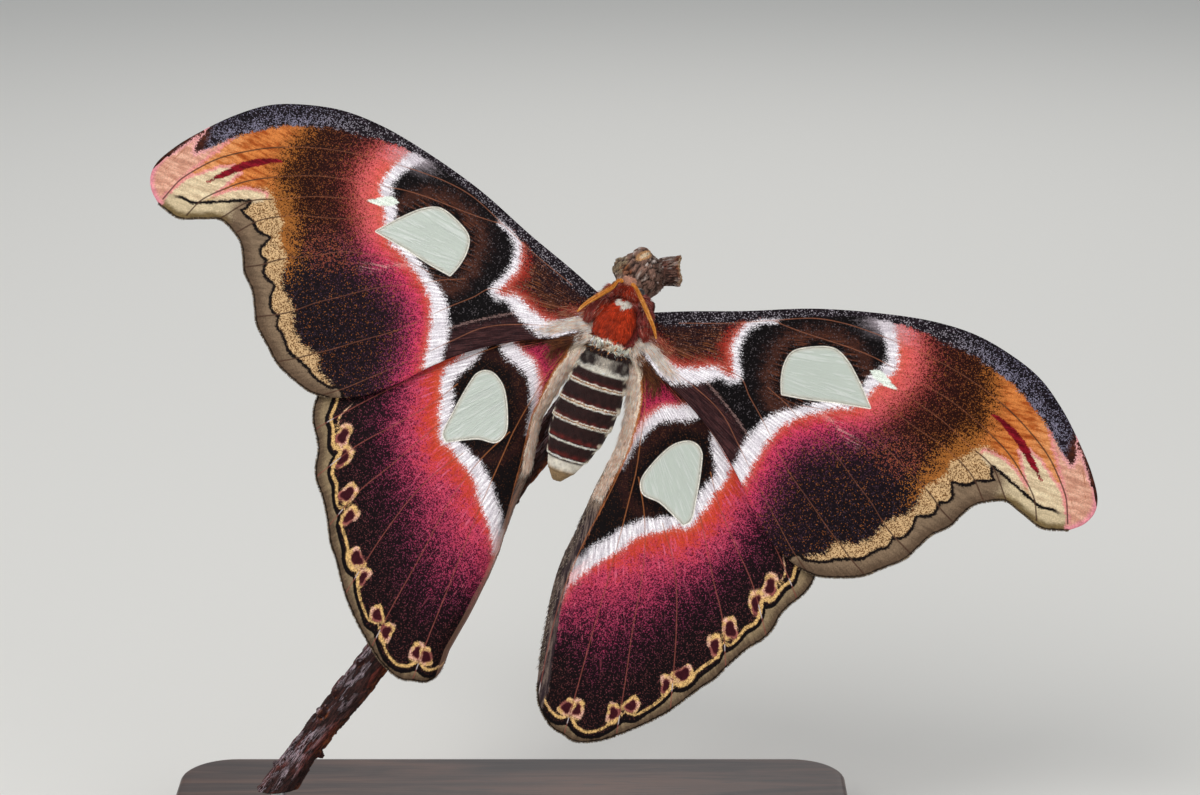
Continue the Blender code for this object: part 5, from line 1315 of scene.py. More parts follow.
def addTufts(name, roots, up, lie, length, width, lift, droop, colours, places, matrix, rootShade,
             thick=0.45):
    # thin tapered tufts of three sides, in one mesh: root sunk, a bend half way, one point at the tip
    count = len(roots)
    lie = unit(lie - up * (lie * up).sum(axis=1, keepdims=True))
    across = np.cross(lie, up)
    first = lie * np.cos(lift)[:, None] + up * np.sin(lift)[:, None]
    second = lie * np.cos(lift - droop)[:, None] + up * np.sin(lift - droop)[:, None]
    long, wide = length[:, None], width[:, None]
    middle = roots + first * long * 0.5
    tip = middle + second * long * 0.5
    over = np.cross(across, first)
    rings = []
    for centre, size in ((roots - up * tuftShape["sink"], 1.0), (middle, tuftShape["middle"])):
        for turn in (0.0, 2 * np.pi / 3, 4 * np.pi / 3):
            rings.append(centre + (across * math.cos(turn) + over * math.sin(turn) * thick) * wide * size)
    points = np.stack([*rings, tip], axis=1).reshape(-1, 3)
    sidesOf = np.array([(0, 1, 4, 3), (1, 2, 5, 4), (2, 0, 3, 5)])
    endsOf = np.array([(3, 4, 6), (4, 5, 6), (5, 3, 6), (2, 1, 0)])
    each = 7 * np.arange(count)[:, None, None]
    faces = (sidesOf + each).reshape(-1, 4).tolist() + (endsOf + each).reshape(-1, 3).tolist()
    obj = addMesh(name, points, faces, matrix)
    obj.data.shade_smooth()
    shade = 1 + np.where(colours.mean(axis=1) > 0.5, 0.1, 0.24) * rng.standard_normal(count)
    tint = np.clip(colours * np.clip(shade, 0.45, 1.7)[:, None], 0, 1)
    pale = rising(tint.mean(axis=1), 0.1, 0.55)[:, None]
    # each tuft is painted darker at its root, a painted shade between the tufts, and lighter at its tip, a
    # painted light; dark tufts more than pale ones
    darkShading = np.array([np.repeat(tuftShape["tones"], (3, 3, 1))])
    paleTones = np.array([np.repeat((rootShade, *tuftShape["paleTones"]), (3, 3, 1))])
    along = darkShading * (1 - pale) + paleTones * pale
    setColours(obj.data, np.clip((tint[:, None, :] * along[:, :, None]).reshape(-1, 3), 0, 1))
    # the bake map: each tuft is a small patch at its root's place
    patch = np.array([(0, 0), (1, 0), (0.5, 0.3), (0, 0.6), (1, 0.6), (0.5, 0.8), (0.5, 1.0)])
    patch = patch * tuftShape["patch"]
    storeMap(obj.data, "OFBake", np.clip((places[:, None, :] + patch[None]).reshape(-1, 2), 0, 1))
    return obj


coatSlots = {"waist": "abdomen_fur", "abdomen": "abdomen_fur", "rings": "abdomen_fur", "leg": "leg"}


def bodyPlaces(roots):
    # the skin unrolled: round the body across, from tail to head upwards
    x, z = abdomenAxis(roots[:, 1])
    turn = np.arctan2(roots[:, 0] - x, roots[:, 2] - z) / (2 * np.pi) + 0.5
    return np.stack([0.01 + 0.97 * turn, 0.01 + 0.97 * np.clip((roots[:, 1] + 41) / 49, 0, 1)], axis=1)


def coatWeight(area, p, n):
    # how thickly each area of the body carries its tufts, at places p with normals n
    x, v, z = p[:, 0], p[:, 1], p[:, 2]
    if area == "rings":
        v = v + bodyShape["rimTilt"] * (z - abdomenAxis(v)[1])
        near = [np.exp(-((v - rim - 0.06) / 0.1) ** 2) for rim in bodyShape["rings"][:-1]]
        near += [0.45 * np.exp(-((v - rim - 0.58) / 0.06) ** 2) for rim in bodyShape["rings"][1:4]]
        return np.maximum.reduce(near) * rising(n[:, 2], -1.2, 0.4)
    tegula = (np.abs(x) > 3.9) & (v < 1.8) & (v > -6.6) & (z > 1.2)
    leg = (z < -6.2) & (v > -16)
    return {
        "tegula": tegula,
        "leg": leg,
        "head": ((v > 1.2) & ~leg) * (0.4 + 0.6 * rising(v, 3.0, 5.0)),
        "cloak": (v > 0.4) & (v < 4.9) & (z > -2.2),
        "thorax": (v <= 1.0) & (v > -7.9) & ~tegula & ~leg & (z > -1.5),
        "shag": (v <= -7.0) & (v > -10.2) & (z > -2.5),
        "waist": (v <= -10.2) & (v > -13.9) & (z > -2.5),
        "under": (v <= 1.2) & (v > -10.6) & ~leg & (z <= -1.5),
        "abdomen": (v <= -10.0) * rising(n[:, 2], -1.4, 0.6),
    }[area] * 1.0


def makeCoat(skin, coatMaterial):
    tone = tones(coatPaint)
    for name, (count, short, long, half, rise, spread) in coatShape.items():
        roots, up = sampleSkin(skin, count, name)
        x = roots[:, 0] - headLean(roots[:, 1])
        lie = np.tile([0.0, -1.0, 0.0], (count, 1))
        length = short + (long - short) * rng.random(count)
        width = half * (0.7 + 0.6 * rng.random(count))
        # which way the tufts of each area lie
        if name == "thorax":
            lie[:, 0] = 0.08 * x
            length = length - 0.9 * rising(roots[:, 1], -1.6, 0.6)
        elif name == "head":
            lie[:, 0] = 0.9 * np.sign(x) * rising(np.abs(x), 0.3, 2.0)
        elif name == "cloak":
            lie[:, 0] = np.clip(x * 0.5, -1.3, 1.3)
            lie[:, 2] = -0.25
            length = length * (0.55 + 0.45 * rising(np.abs(x), 0.4, 1.8))
        elif name == "tegula":
            lie[:, 0] = 0.35 * np.sign(x)
        elif name == "leg":
            lie[:, 1:] = (-0.5, -1.0)
        # neighbouring tufts lean together in small locks
        lock = np.stack([noiseAt(roots * 0.95),
                         noiseAt([Vector(q) + Vector((9, 4, 2)) for q in roots * 0.95])], axis=1)
        lie = lie + spread * rng.standard_normal((count, 3))
        lie[:, 0] += 1.6 * spread * lock[:, 0] * 2
        lift = rise + 0.3 * rise * rng.standard_normal(count) + 0.5 * rise * lock[:, 1] * 2
        lift = np.clip(lift, 0.02, 1.2)
        middle = roots + unit(lie - up * (lie * up).sum(axis=1, keepdims=True)) * length[:, None] * 0.55
        colours = bodyColour(middle)
        # single tufts of other colours
        if name == "rings":
            number = np.argmin(np.abs(roots[:, 1:2] - np.array(bodyShape["rings"][:-1])), axis=1)
            golden = (number > 0) & (number < 4) & (rng.random(count) < 0.12)
            colours = np.where(golden[:, None], tone["gold"], tone["ring"])
        # painted light: the shag and ring tufts are made a quarter brighter against the shade they lie in
        if name in ("shag", "rings"):
            colours = colours * 1.25
        if name in ("shag", "head", "tegula", "cloak"):
            mix = rng.random(count)[:, None]
        if name == "shag":
            colours = np.where(mix < 0.14, tone["orange"], colours)
            colours = np.where(mix > 0.9, tone["greyBrown"], colours)
        elif name == "head":
            onFrons = rising(roots[:, 1:2], 4.6, 5.2) * (np.abs(x)[:, None] < 1.5)
            bright = 0.5 * colours + 0.5 * tone["headBright"]
            colours = np.where((mix < 0.35) & (onFrons < 0.5), bright, colours)
            colours = np.where((mix > 0.8) & (onFrons < 0.5), 0.35 * colours, colours)
            colours = colours + (tone["frons"] - colours) * onFrons * 0.8
        elif name in ("tegula", "cloak"):
            colours = np.where(mix < 0.35, 0.4 * colours + 0.6 * tone["cloakRed"], colours)
            colours = np.where(mix > 0.82, 0.4 * colours + 0.6 * tone["cloakPink"], colours)
        tufts = addTufts(f"coat_{name}", roots, up, lie, length, width, lift, np.full(count, 0.45),
                         colours * (1 + 0.35 * lock[:, 1:]), bodyPlaces(roots), mothFrame,
                         rootShade=0.4 if name == "shag" else 0.8)
        tufts.data.materials.append(coatMaterial)
        finish(tufts, coatSlots.get(name, "red_fur"))
    print("coat made")


# hair on the wings: cream at the roots and along the abdomen, a fine fringe round the edges
hairShape = {
    # wing, how many, the flat line its roots follow, half width, lie, length, half width of a tuft, colours
    "innerHair": ("hind", 8200, [(5.0, -11.0), (7.2, -14.5), (8.6, -20.0), (9.0, -27.0), (8.4, -33.0),
                                 (7.4, -39.0)], 1.15,
                  (0.0, -1.0), (2.0, 3.4), 0.05, ("ffdcc4", "fff0e6", "e8b89a")),
    "backHair": ("hind", 2100, [(8.1, -33.5), (7.6, -36.0), (6.9, -42.0), (6.3, -48.0), (5.6, -56.0),
                                (6.2, -66.0), (8.0, -78.0)], 0.8,
                 (-0.25, -1.0), (0.8, 1.5), 0.05, ("4a3c34", "7a6858", "b0a090")),
    "rootHair": ("fore", 4200, [(3.4, -5.2), (5.6, -5.4), (8.2, -6.4), (11.0, -8.2), (13.0, -9.2)], 1.15,
                 (0.86, -0.5), (1.6, 4.4), 0.05, ("ffe8d8", "fffaf6", "f2c4a4")),
    "cornerHair": ("fore", 1500, [(3.8, -6.8), (5.2, -8.0), (6.8, -9.3)], 1.0,
                   (0.62, -0.8), (1.2, 2.6), 0.05, ("ffe6d4", "fff6ec", "d8a070")),
    "streakHair": ("fore", 800, [(5.2, -8.0), (8.0, -9.9), (11.0, -12.0)], 1.0,
                   (0.8, -0.6), (2.0, 3.8), 0.035, ("5c2e1a", "94562e", "32180f")),
    "pinkHair": ("fore", 1300, [(5.0, -3.4), (8.0, -4.0), (11.5, -5.8)], 1.2,
                 (0.86, -0.5), (1.6, 2.8), 0.05, ("a8503a", "c98a6a", "7c3028")),
    "strandHair": ("hind", 420, [(8.2, -9.6), (10.0, -11.5), (12.0, -14.0)], 1.6,
                   (0.22, -1.0), (2.6, 4.4), 0.035, ("5a2a18", "8a5230", "a87448")),
}
fringeShape = {
    # wing, the edge that the fringe stands on, and a point well inside the wing
    "foreFringe": ("fore", "termen", (60.0, -5.0)),
    "hindFringe": ("hind", "hindTermen", (25.0, -45.0)),
}
fringeLook = {"count": 2600, "lengths": (0.3, 0.55), "half": 0.05, "tones": ("3a2c22", "6e5a44", "a08a6c")}
hairFading = {"rootHair": 1.9, "cornerHair": 1.7, "innerHair": 1.2}  # how much thinner outwards


def addWingHair(coatMaterial):
    wings = {"fore": (onForewing, forewingFrame), "hind": (onHindwing, mothFrame)}
    for name, (wing, count, line, reach, way, lengths, half, shades) in hairShape.items():
        path = smoothPath(line, 0.3)
        for side, word in sides.items():
            spot = rng.random(count) ** hairFading.get(name, 1.0) * (len(path) - 1)
            low = np.minimum(spot.astype(int), len(path) - 2)
            step = path[low + 1] - path[low]
            flat = path[low] + step * (spot - low)[:, None]
            across = unit(step)[:, ::-1] * (1, -1)
            flat = flat + across * (np.clip(rng.standard_normal(count) * 0.5, -1.1, 1.1) * reach)[:, None]
            if name == "rootHair":
                flat = flat + unit(step) * rng.standard_normal((count, 1)) * 0.8
            ways = np.tile(way, (count, 1))
            hair = placeHair(f"{name}_{word}", flat, ways, *wings[wing], side, lengths, half,
                             shades, 0.084, 0.096, 0.2)
            hair.data.materials.append(coatMaterial)
            finish(hair, "wing_scales")
    # the fringe: short flat scales that stand out from the edge
    for name, (wing, key, inside) in fringeShape.items():
        path = smoothPath(wingShape[key], 0.08)
        ways = np.gradient(path, axis=0)
        for side, word in sides.items():
            pick = rng.integers(0, len(path), fringeLook["count"])
            out = unit(ways[pick])[:, ::-1] * (-1, 1)
            out = out * np.sign(((path[pick] - np.array(inside)) * out).sum(axis=1))[:, None]
            fringe = placeHair(f"{name}_{word}", path[pick] - out * 0.12, out, *wings[wing], side,
                               fringeLook["lengths"], fringeLook["half"], fringeLook["tones"], 0.05, 0.1,
                               0.45)
            fringe.data.materials.append(coatMaterial)
            finish(fringe, "wing_scales")
    print("wing hair made")


def placeHair(name, flat, way, place, matrix, side, lengths, half, shades, lift, spread, thick):
    # hair with its roots at flat places on a wing, most of it on the upper side
    count = len(flat)
    under = rng.random(count) < 0.3
    rise = np.where(under, -0.12, 0.12)
    step = 0.05
    roots = place(flat[:, 0], flat[:, 1], side, rise)
    alongU = place(flat[:, 0] + step, flat[:, 1], side, rise) - roots
    alongV = place(flat[:, 0], flat[:, 1] + step, side, rise) - roots
    up = unit(np.cross(alongU, alongV)) * side * np.where(under, -1.0, 1.0)[:, None]
    lock = noiseAt([(*q, side * 5.0) for q in flat * 0.8])
    way = way + spread * rng.standard_normal((count, 2)) + np.stack([lock, lock * 0.3], axis=1) * spread * 3
    lie = alongU * way[:, :1] + alongV * way[:, 1:]
    length = lengths[0] + (lengths[1] - lengths[0]) * rng.random(count)
    colours = np.array([paint(shade)[:3] for shade in shades])[rng.choice(3, count, p=(0.45, 0.35, 0.2))]
    # the bake map: the left wing on one half, the right one on the other
    places = np.stack([0.01 + 0.47 * flat[:, 0] / 112 + (0.5 if side > 0 else 0.0),
                       0.01 + 0.97 * (flat[:, 1] + 95) / 118], axis=1)
    return addTufts(name, roots, up, lie, length, half * (0.7 + 0.6 * rng.random(count)),
                    np.clip(lift + 0.08 * rng.standard_normal(count), 0.0, 1.0), np.full(count, 0.25),
                    colours * (1 + 0.15 * lock[:, None]), places, matrix, 0.95, thick)


def makeFurMaterials():
    made = []
    for name, roughness in (("bodySkin", 0.8), ("bodyCoat", 0.62)):
        material, g, shader = startMaterial(name)
        place = g.place()
        shade = g.remap(g.noise(place, 900.0, 3.0), 0.25, 0.75, 0.78, 1.2, smooth=False)
        g.feed(shader, Base_Color=g.shaded(g.mark("coatColour", "Color"), shade), Roughness=roughness,
               Specular_IOR_Level=0.12, Sheen_Weight=0.05,
               Normal=g.bump(g.noise(place, 5200.0, 2.0), 0.4, 0.0001))
        made.append(material)
    return made


antennaShape = {
    "path": [(1.3, 5.1, 0.6), (2.0, 4.7, 2.4), (3.6, 2.9, 4.6), (5.6, 0.3, 5.6), (7.6, -2.2, 5.1),
             (8.8, -4.2, 4.0)],
    # how far left each point is moved
    "lean": {-1: (1.2, 0.85, 0.1, 0.0, 0.0, 0.0), 1: (1.2, 1.1, 0.75, 0.2, 0.0, 0.0)},
    "shaft": [0.26, 0.2, 0.15, 0.1, 0.05],
    "combs": 46,
    "reach": [0.35, 1.05, 1.3, 1.35, 1.25, 0.9, 0.3],
    "slant": 70.0,
    "sweep": 0.55,
    "tooth": ((0.0, 0.115), (0.35, 0.1), (0.7, 0.07), (0.92, 0.045)),  # share of the reach and half width
    "scape": ((1.3, 5.0, 0.4), (0.45, 0.42, 0.5)),
}


def combTooth(at, out, along, reach, points, faces):
    # four thin rings that sweep towards the antenna's tip, then a point
    first, sweep = len(points), antennaShape["sweep"] * reach
    for part, size in antennaShape["tooth"]:
        middle = at + out * (reach * part) + along * (sweep * part ** 1.6)
        for turn in range(4):
            angle = math.pi / 4 + turn * math.pi / 2
            forward, aside = along * (size * math.cos(angle)), out.cross(along) * (size * math.sin(angle))
            points.append(middle + forward + aside)
    points.append(at + out * reach + along * sweep)
    for ring in range(3):
        for k in range(4):
            a, b = first + ring * 4 + k, first + ring * 4 + (k + 1) % 4
            faces.append((a, b, b + 4, a + 4))
    faces += [(first + 12 + k, first + 12 + (k + 1) % 4, first + 16) for k in range(4)]
    faces.append((first + 3, first + 2, first + 1, first))


def makeAntennae(hornMaterial):
    count, slant = antennaShape["combs"], math.radians(antennaShape["slant"])
    for side, word in sides.items():
        stops = [Vector((side * x - lean, y, z))
                 for (x, y, z), lean in zip(antennaShape["path"], antennaShape["lean"][side])]
        line = smoothPath(stops, 0.22)
        shaft = ringsBody(f"antenna_{word}_comb", tubeRings(line, antennaShape["shaft"], 10), mothFrame)
        points, faces = [], []
        for number in range(count):
            share = 0.04 + 0.94 * number / (count - 1)
            place = share * (len(line) - 1)
            low = min(int(place), len(line) - 2)
            at = Vector(line[low]).lerp(Vector(line[low + 1]), place - low)
            along = Vector(line[low + 1] - line[low]).normalized()
            across = along.cross(Vector((0.0, 0.0, 1.0))).normalized()
            up = across.cross(along).normalized()
            reach = np.interp(share, np.linspace(0, 1, len(antennaShape["reach"])), antennaShape["reach"])
            for way in (-1, 1):
                for row in (-1, 1):
                    out = (across * (way * math.cos(slant)) + up * (row * math.sin(slant))).normalized()
                    combTooth(at, out, along, reach, points, faces)
        teeth = addMesh("teeth", np.array([tuple(p) for p in points]), faces, mothFrame)
        faceOutward(teeth)
        (x, y, z), half = antennaShape["scape"]
        base = addEllipsoid("scape", (side * x - 1.2, y, z), half, Matrix(), mothFrame, 20)
        joinPieces([shaft, teeth, base], shaft.name)
        shaft.data.shade_smooth()
        shaft.data.materials.clear()
        shaft.data.materials.append(hornMaterial)
        finish(shaft, "antenna", f"antenna_{word}")
    print("antennae made")


eyeShape = {
    "at": (2.5, 3.7, -1.9),
    "radius": 1.3,
    "cut": 0.55,  # how far behind its middle the dome ends, as a share of the radius
    "rim": (0.12, 0.15),  # width and depth of the rim where it meets the head
    "stretch": (0.94, 1.0, 0.96, 1.0),
    "looks": (0.94, 0.12, 0.1),  # the way it faces
}


def makeEyes(eyeMaterial):
    x, y, z = eyeShape["at"]
    radius, (rim, deep) = eyeShape["radius"], eyeShape["rim"]
    aside, ahead, up = eyeShape["looks"]
    for side, word in sides.items():
        bpy.ops.object.select_all(action="DESELECT")
        bpy.ops.mesh.primitive_uv_sphere_add(segments=48, ring_count=32, radius=radius * mm)
        eye = bpy.context.object
        eye.name = f"eye_{word}_dome"
        bpy.ops.object.mode_set(mode="EDIT")
        bpy.ops.mesh.select_all(action="SELECT")
        bpy.ops.mesh.bisect(plane_co=(0, 0, -eyeShape["cut"] * radius * mm), plane_no=(0, 0, 1),
                            use_fill=True, clear_inner=True)
        bpy.ops.mesh.inset(thickness=rim * mm)
        bpy.ops.transform.translate(value=(0, 0, -deep * mm))
        bpy.ops.object.mode_set(mode="OBJECT")
        eye.data.transform(Matrix.Diagonal(eyeShape["stretch"]))
        outward = Vector((side * aside, ahead, up)).to_track_quat("Z", "Y").to_matrix().to_4x4()
        place = Matrix.Scale(mm, 4) @ mothFrame @ Matrix.Translation((side * x + headLean(y), y, z)) @ outward
        eye.data.transform(place @ Matrix.Scale(1 / mm, 4))
        faceOutward(eye)
        eye.data.shade_smooth()
        eye.data.materials.append(eyeMaterial)
        finish(eye, "eye", f"eye_{word}")
    print("eyes made")


def makeClaws(clawMaterial):
    # two small hooks at each foot, bent on to the bark: how far along, out and in each point lies
    bends = ((-0.1, 0.12, 0.0), (0.3, 0.26, 0.02), (0.5, 0.3, 0.28))
    hooks = []
    for path in legPaths().values():
        end = Vector(path[-1])
        along = (end - Vector(path[-4])).normalized()
        inward = (onTwig(end.y, 0, 0) - end).normalized()
        across = along.cross(inward).normalized()
        for way in (-1, 1):
            stops = [end + along * a + across * (way * b) + inward * c for a, b, c in bends]
            rings = tubeRings(smoothPath(stops, 0.08), [0.13, 0.09, 0.02], 8)
            hooks.append(ringsBody("hook", rings, mothFrame))
    claws = joinPieces(hooks, "claws")
    claws.data.shade_smooth()
    claws.data.materials.append(clawMaterial)
    finish(claws, "leg")


barkShape = {
    "ridge": 0.42, "lump": 0.3, "splinter": 0.35,  # heights in millimetres
    "dark": "1a0d0c", "brown": "482824", "red": "80301f", "knob": "a67e6c",
    "plate": "c2a898", "plateLight": "e0d0c8", "olive": "ae9a78",
    "bud": "3c120d", "orange": "b0602e", "cut": "e6ab74", "cutPale": "f8dcb8",
}


def makeTwig(barkMaterial):
    line = smoothPath([Vector(p) for p in twigShape["path"]], 0.8)
    share = np.linspace(0, 1, len(line))
    radii = np.interp(share, [0, 1], [twigShape["footRadius"], twigShape["topRadius"]])
    radii = radii + 0.16 * np.sin(9 * np.pi * share) + 0.08 * np.sin(23 * share + 1) - 0.12
    pieces = [ringsBody("stem", tubeRings(line, list(radii), 28), displayFrame)]
    pieces.append(addEllipsoid("knob", twigShape["knobAt"], twigShape["knobHalf"],
                               turnBy(-35, "Z"), displayFrame))
    stub = smoothPath([Vector(p) for p in twigShape["stub"]], 0.5)
    rim = twigShape["stubRadius"]
    pieces.append(ringsBody("stub", tubeRings(stub, [rim, rim, rim + 0.25], 28), displayFrame))
    for name, at, half, turn in twigShape["bumps"]:
        pieces.append(addEllipsoid(name, at, half, Matrix.Rotation(turn, 4, "Z"), displayFrame))
    buds = []
    for at, degrees, size in twigShape["buds"]:
        place = at * (len(line) - 1)
        low = int(place)
        spot = Vector(line[low]).lerp(Vector(line[low + 1]), place - low)
        along = Vector(line[low + 1] - line[low]).normalized()
        left = Vector((0, 0, 1)).cross(along).normalized()
        out = along.cross(left) * math.cos(math.radians(degrees)) + left * math.sin(math.radians(degrees))
        buds.append((spot + out * (twigShape["footRadius"] - 0.2), size))
        middle = spot + out * (twigShape["footRadius"] - 0.1)
        pieces.append(addEllipsoid("bud", middle, (size, size, size), Matrix(), displayFrame, 16))
    twig = fuse(pieces, "twig_bark", twigShape["voxel"])
    points, normals = toLocal(twig, displayFrame), normalsOf(twig, displayFrame)
    # where each point is along and round the stem, or along and round the stub
    along, across, behind = aroundPath(points, line)
    stubWay = unit((stub[-1] - stub[0])[None])[0]
    fromStub = points - stub[0]
    stubAlong = fromStub @ stubWay
    offAxis = fromStub - stubAlong[:, None] * stubWay
    onStub = rising(stubAlong, 2.2, 4.0) * rising(-np.linalg.norm(offAxis, axis=1), -4.6, -3.8)
    grain = np.stack([along * 0.22, across, behind], axis=1)
    stubGrain = np.stack([stubAlong * 0.2, offAxis[:, 1] * 1.2, offAxis[:, 2] * 1.2], axis=1)
    grain = grain + (stubGrain - grain) * onStub[:, None]
    fromKnob = np.linalg.norm((points - np.array(twigShape["knobAt"])) / 7.2, axis=1)
    atKnob = rising(-fromKnob, -1.15, -0.85) * (1 - onStub)
    fine, lumps = noiseAt(grain * 1.9 + 7.0), noiseAt(grain * 0.45 + 13.0)
    # plates with cracks between them: long on the stem and stub, round on the knob
    bent = grain * (1.0, 0.9, 0.9) + 0.25 * fine[:, None]
    bent = bent + (points * 0.5 + 0.3 * fine[:, None] - bent) * (atKnob > 0.5)[:, None]
    cells = [noise.voronoi(Vector(q)) for q in bent]
    gap = np.array([found[0][1] - found[0][0] for found in cells])
    plateTone = np.array([noise.cell(found[1][0] * 7.3) for found in cells])
    ridge = 0.2 + 0.7 * rising(gap, 0.06, 0.3)
    height = barkShape["ridge"] * (rising(gap, 0.0, 0.22) - 0.7)
    height = height + 0.2 * (plateTone - 0.5) * rising(gap, 0.0, 0.15)
    height = height + 0.16 * fine + barkShape["lump"] * lumps * (0.35 + 0.65 * atKnob)
    endFace = rising(stubAlong, 7.2, 7.7) * rising((normals @ stubWay), 0.3, 0.7)
    splinter = noiseAt(points * (0.4, 2.2, 2.2))
    height = height * (1 - endFace) + barkShape["splinter"] * splinter * endFace
    scarTurn = np.array((math.cos(0.42), math.sin(0.42)))
    away = points[:, :2] - (4.4, 11.5)
    scarAlong, scarAcross = away @ scarTurn, away @ np.array((-scarTurn[1], scarTurn[0]))
    scar = rising(-np.hypot(scarAlong / 2.3, scarAcross / 0.95), -1.1, -0.85) * (points[:, 2] > -12.2)
    height = height * (1 - scar) - 0.2 * scar
    points = points + normals * height[:, None]
    # the stub is broken off, ragged round its rim
    out = np.linalg.norm(offAxis, axis=1)
    ragged = noiseAt(unit(offAxis) * 1.4) + noiseAt(unit(offAxis) * 5.0) * 0.5
    ragged = ragged * rising(out, 1.2, 2.8) - 0.35
    points = points + stubWay * (ragged * rising(stubAlong, 5.6, 7.6) * (out < 4.2))[:, None]
    # bark colours: dark cracks, red-brown bark, grey plates on the ridges, orange where it is rubbed, and
    # orange painted light along one flank of the stem
    tone = tones(barkShape)
    made = np.tile(tone["brown"], (len(points), 1))

    def lay(mask, key):
        return made + (tone[key] - made) * np.clip(mask, 0, 1)[:, None]

    made = lay(rising(lumps, 0.0, 0.35) * 0.7 * (1 - atKnob), "red")
    made = lay(atKnob * 0.9 + onStub * 0.4, "knob")
    facing = rising(normals[:, 2], -0.1, 0.5)
    plated = np.clip(atKnob + onStub, 0, 1)
    made = lay(rising(gap, 0.05, 0.15) * rising(fine + 0.9 * (plateTone - 0.4), -0.1, 0.35) * plated, "plate")
    light = rising(gap, 0.12, 0.3) * rising(fine + 0.6 * (plateTone - 0.6), 0.05, 0.3)
    made = lay(light * plated * 0.8, "plateLight")
    # where the stem's outer bark has weathered to pale fibres
    weathered = facing * rising(lumps + 0.5 * (plateTone - 0.5), -0.42, -0.1)
    weathered = weathered * (1 - atKnob) * rising(-across, -2.2, 0.6)
    weathered = np.clip(weathered - 0.9 * atKnob, 0, 1)
    leftLobe = rising(-np.hypot((points[:, 0] + 1.6) / 2.6, (points[:, 1] - 9.6) / 2.4), -1.2, -0.7)
    made = lay(leftLobe * rising(ridge, 0.3, 0.5) * 0.8, "olive")
    burlPatch = rising(-np.hypot((points[:, 0] - 0.4) / 1.7, (points[:, 1] - 8.2) / 1.5), -1.2, -0.6)
    made = lay(burlPatch * rising(fine, -0.3, 0.1) * 0.8, "orange")
    # painted light: the stem's flank turned towards +x and away from +y is laid orange, as if lit
    litSide = rising(normals[:, 0] * 0.83 - normals[:, 1] * 0.55, 0.62, 0.9) * (1 - atKnob) * (1 - onStub)
    made = lay(litSide * rising(fine + lumps, -0.2, 0.3) * 0.65, "orange")
    made = lay(np.exp(-(gap / (0.08 + 0.05 * atKnob)) ** 2) * 0.95, "dark")
    for spot, size in buds:
        out = np.linalg.norm(points - np.array(spot), axis=1) / size
        made = lay(rising(-out, -1.35, -1.0), "bud")
        made = lay(np.exp(-((out - 1.12) / 0.1) ** 2) * rising(fine, -0.3, 0.1) * 0.6, "orange")
    made = lay(rising(stubAlong, 6.5, 7.2) * (1 - endFace) * 0.35, "orange")
    made = lay(endFace, "cut")
    made = lay(endFace * rising(splinter, -0.05, 0.25), "cutPale")
    made = lay(scar, "cut")
    made = lay(scar * rising(-np.hypot(scarAlong / 1.8, (scarAcross + 0.05) / 0.6), -1.0, -0.5), "cutPale")
    setColours(twig.data, made)
    storeValues(twig.data, "fibrous", 1 - 0.75 * atKnob)
    storeValues(twig.data, "weathered", weathered)
    layer = twig.data.attributes.new("grain", "FLOAT_VECTOR", "POINT")
    layer.data.foreach_set("vector", grain.astype(np.float32).ravel())
    twig.data.vertices.foreach_set("co", toWorld(points, displayFrame).astype(np.float32).ravel())
    # the foot is sawn level
    level = (pose["thoraxAt"][2] - twigShape["cutBelow"]) * mm
    bpy.ops.object.select_all(action="DESELECT")
    twig.select_set(True)
    bpy.context.view_layer.objects.active = twig
    bpy.ops.object.mode_set(mode="EDIT")
    bpy.ops.mesh.select_all(action="SELECT")
    bpy.ops.mesh.bisect(plane_co=(0, 0, level), plane_no=(0, 0, 1), use_fill=True, clear_inner=True)
    bpy.ops.object.mode_set(mode="OBJECT")
    twig.data.shade_smooth()
    twig.data.materials.append(barkMaterial)
    finish(twig, "bark", "perch_twig")
    print("twig made", len(twig.data.polygons))


def aroundPath(points, line):
    # how far along the line each point lies, and its place across the line
    runs = np.concatenate([[0.0], np.cumsum(np.linalg.norm(np.diff(line, axis=0), axis=1))])
    nearest = np.concatenate([np.argmin(((part[:, None, :] - line[None]) ** 2).sum(axis=2), axis=1)
                              for part in np.array_split(points, 1 + len(points) // 4000)])
    ways = unit(np.gradient(line, axis=0))
    way = ways[nearest]
    away = points - line[nearest]
    extra = (away * way).sum(axis=1)
    away = away - extra[:, None] * way
    first = unit(np.cross(way, (0.0, 0.0, 1.0)))
    second = np.cross(way, first)
    return runs[nearest] + extra, (away * first).sum(axis=1), (away * second).sum(axis=1)


standShape = {
    "base": (150.0, 84.0, 10.0), "corner": 12.0, "edge": 1.2, "footEdge": 0.5,
    "rodRadius": 1.6, "rodBottom": 10.3, "rodEdge": 0.22, "ferrule": (2.7, 0.9),
}


def twigFoot():
    path = [displayFrame @ Vector(p) for p in smoothPath([Vector(p) for p in twigShape["path"]], 6.0)]
    level = pose["thoraxAt"][2] - twigShape["cutBelow"]
    for a, b in zip(path, path[1:]):
        if a.z <= level <= b.z:
            return a.lerp(b, (level - a.z) / (b.z - a.z))


def startEdit(obj, kind):
    bpy.context.view_layer.objects.active = obj
    bpy.ops.object.mode_set(mode="EDIT")
    bpy.ops.mesh.select_mode(type=kind)
    bpy.ops.mesh.select_all(action="DESELECT")
    return bmesh.from_edit_mesh(obj.data)


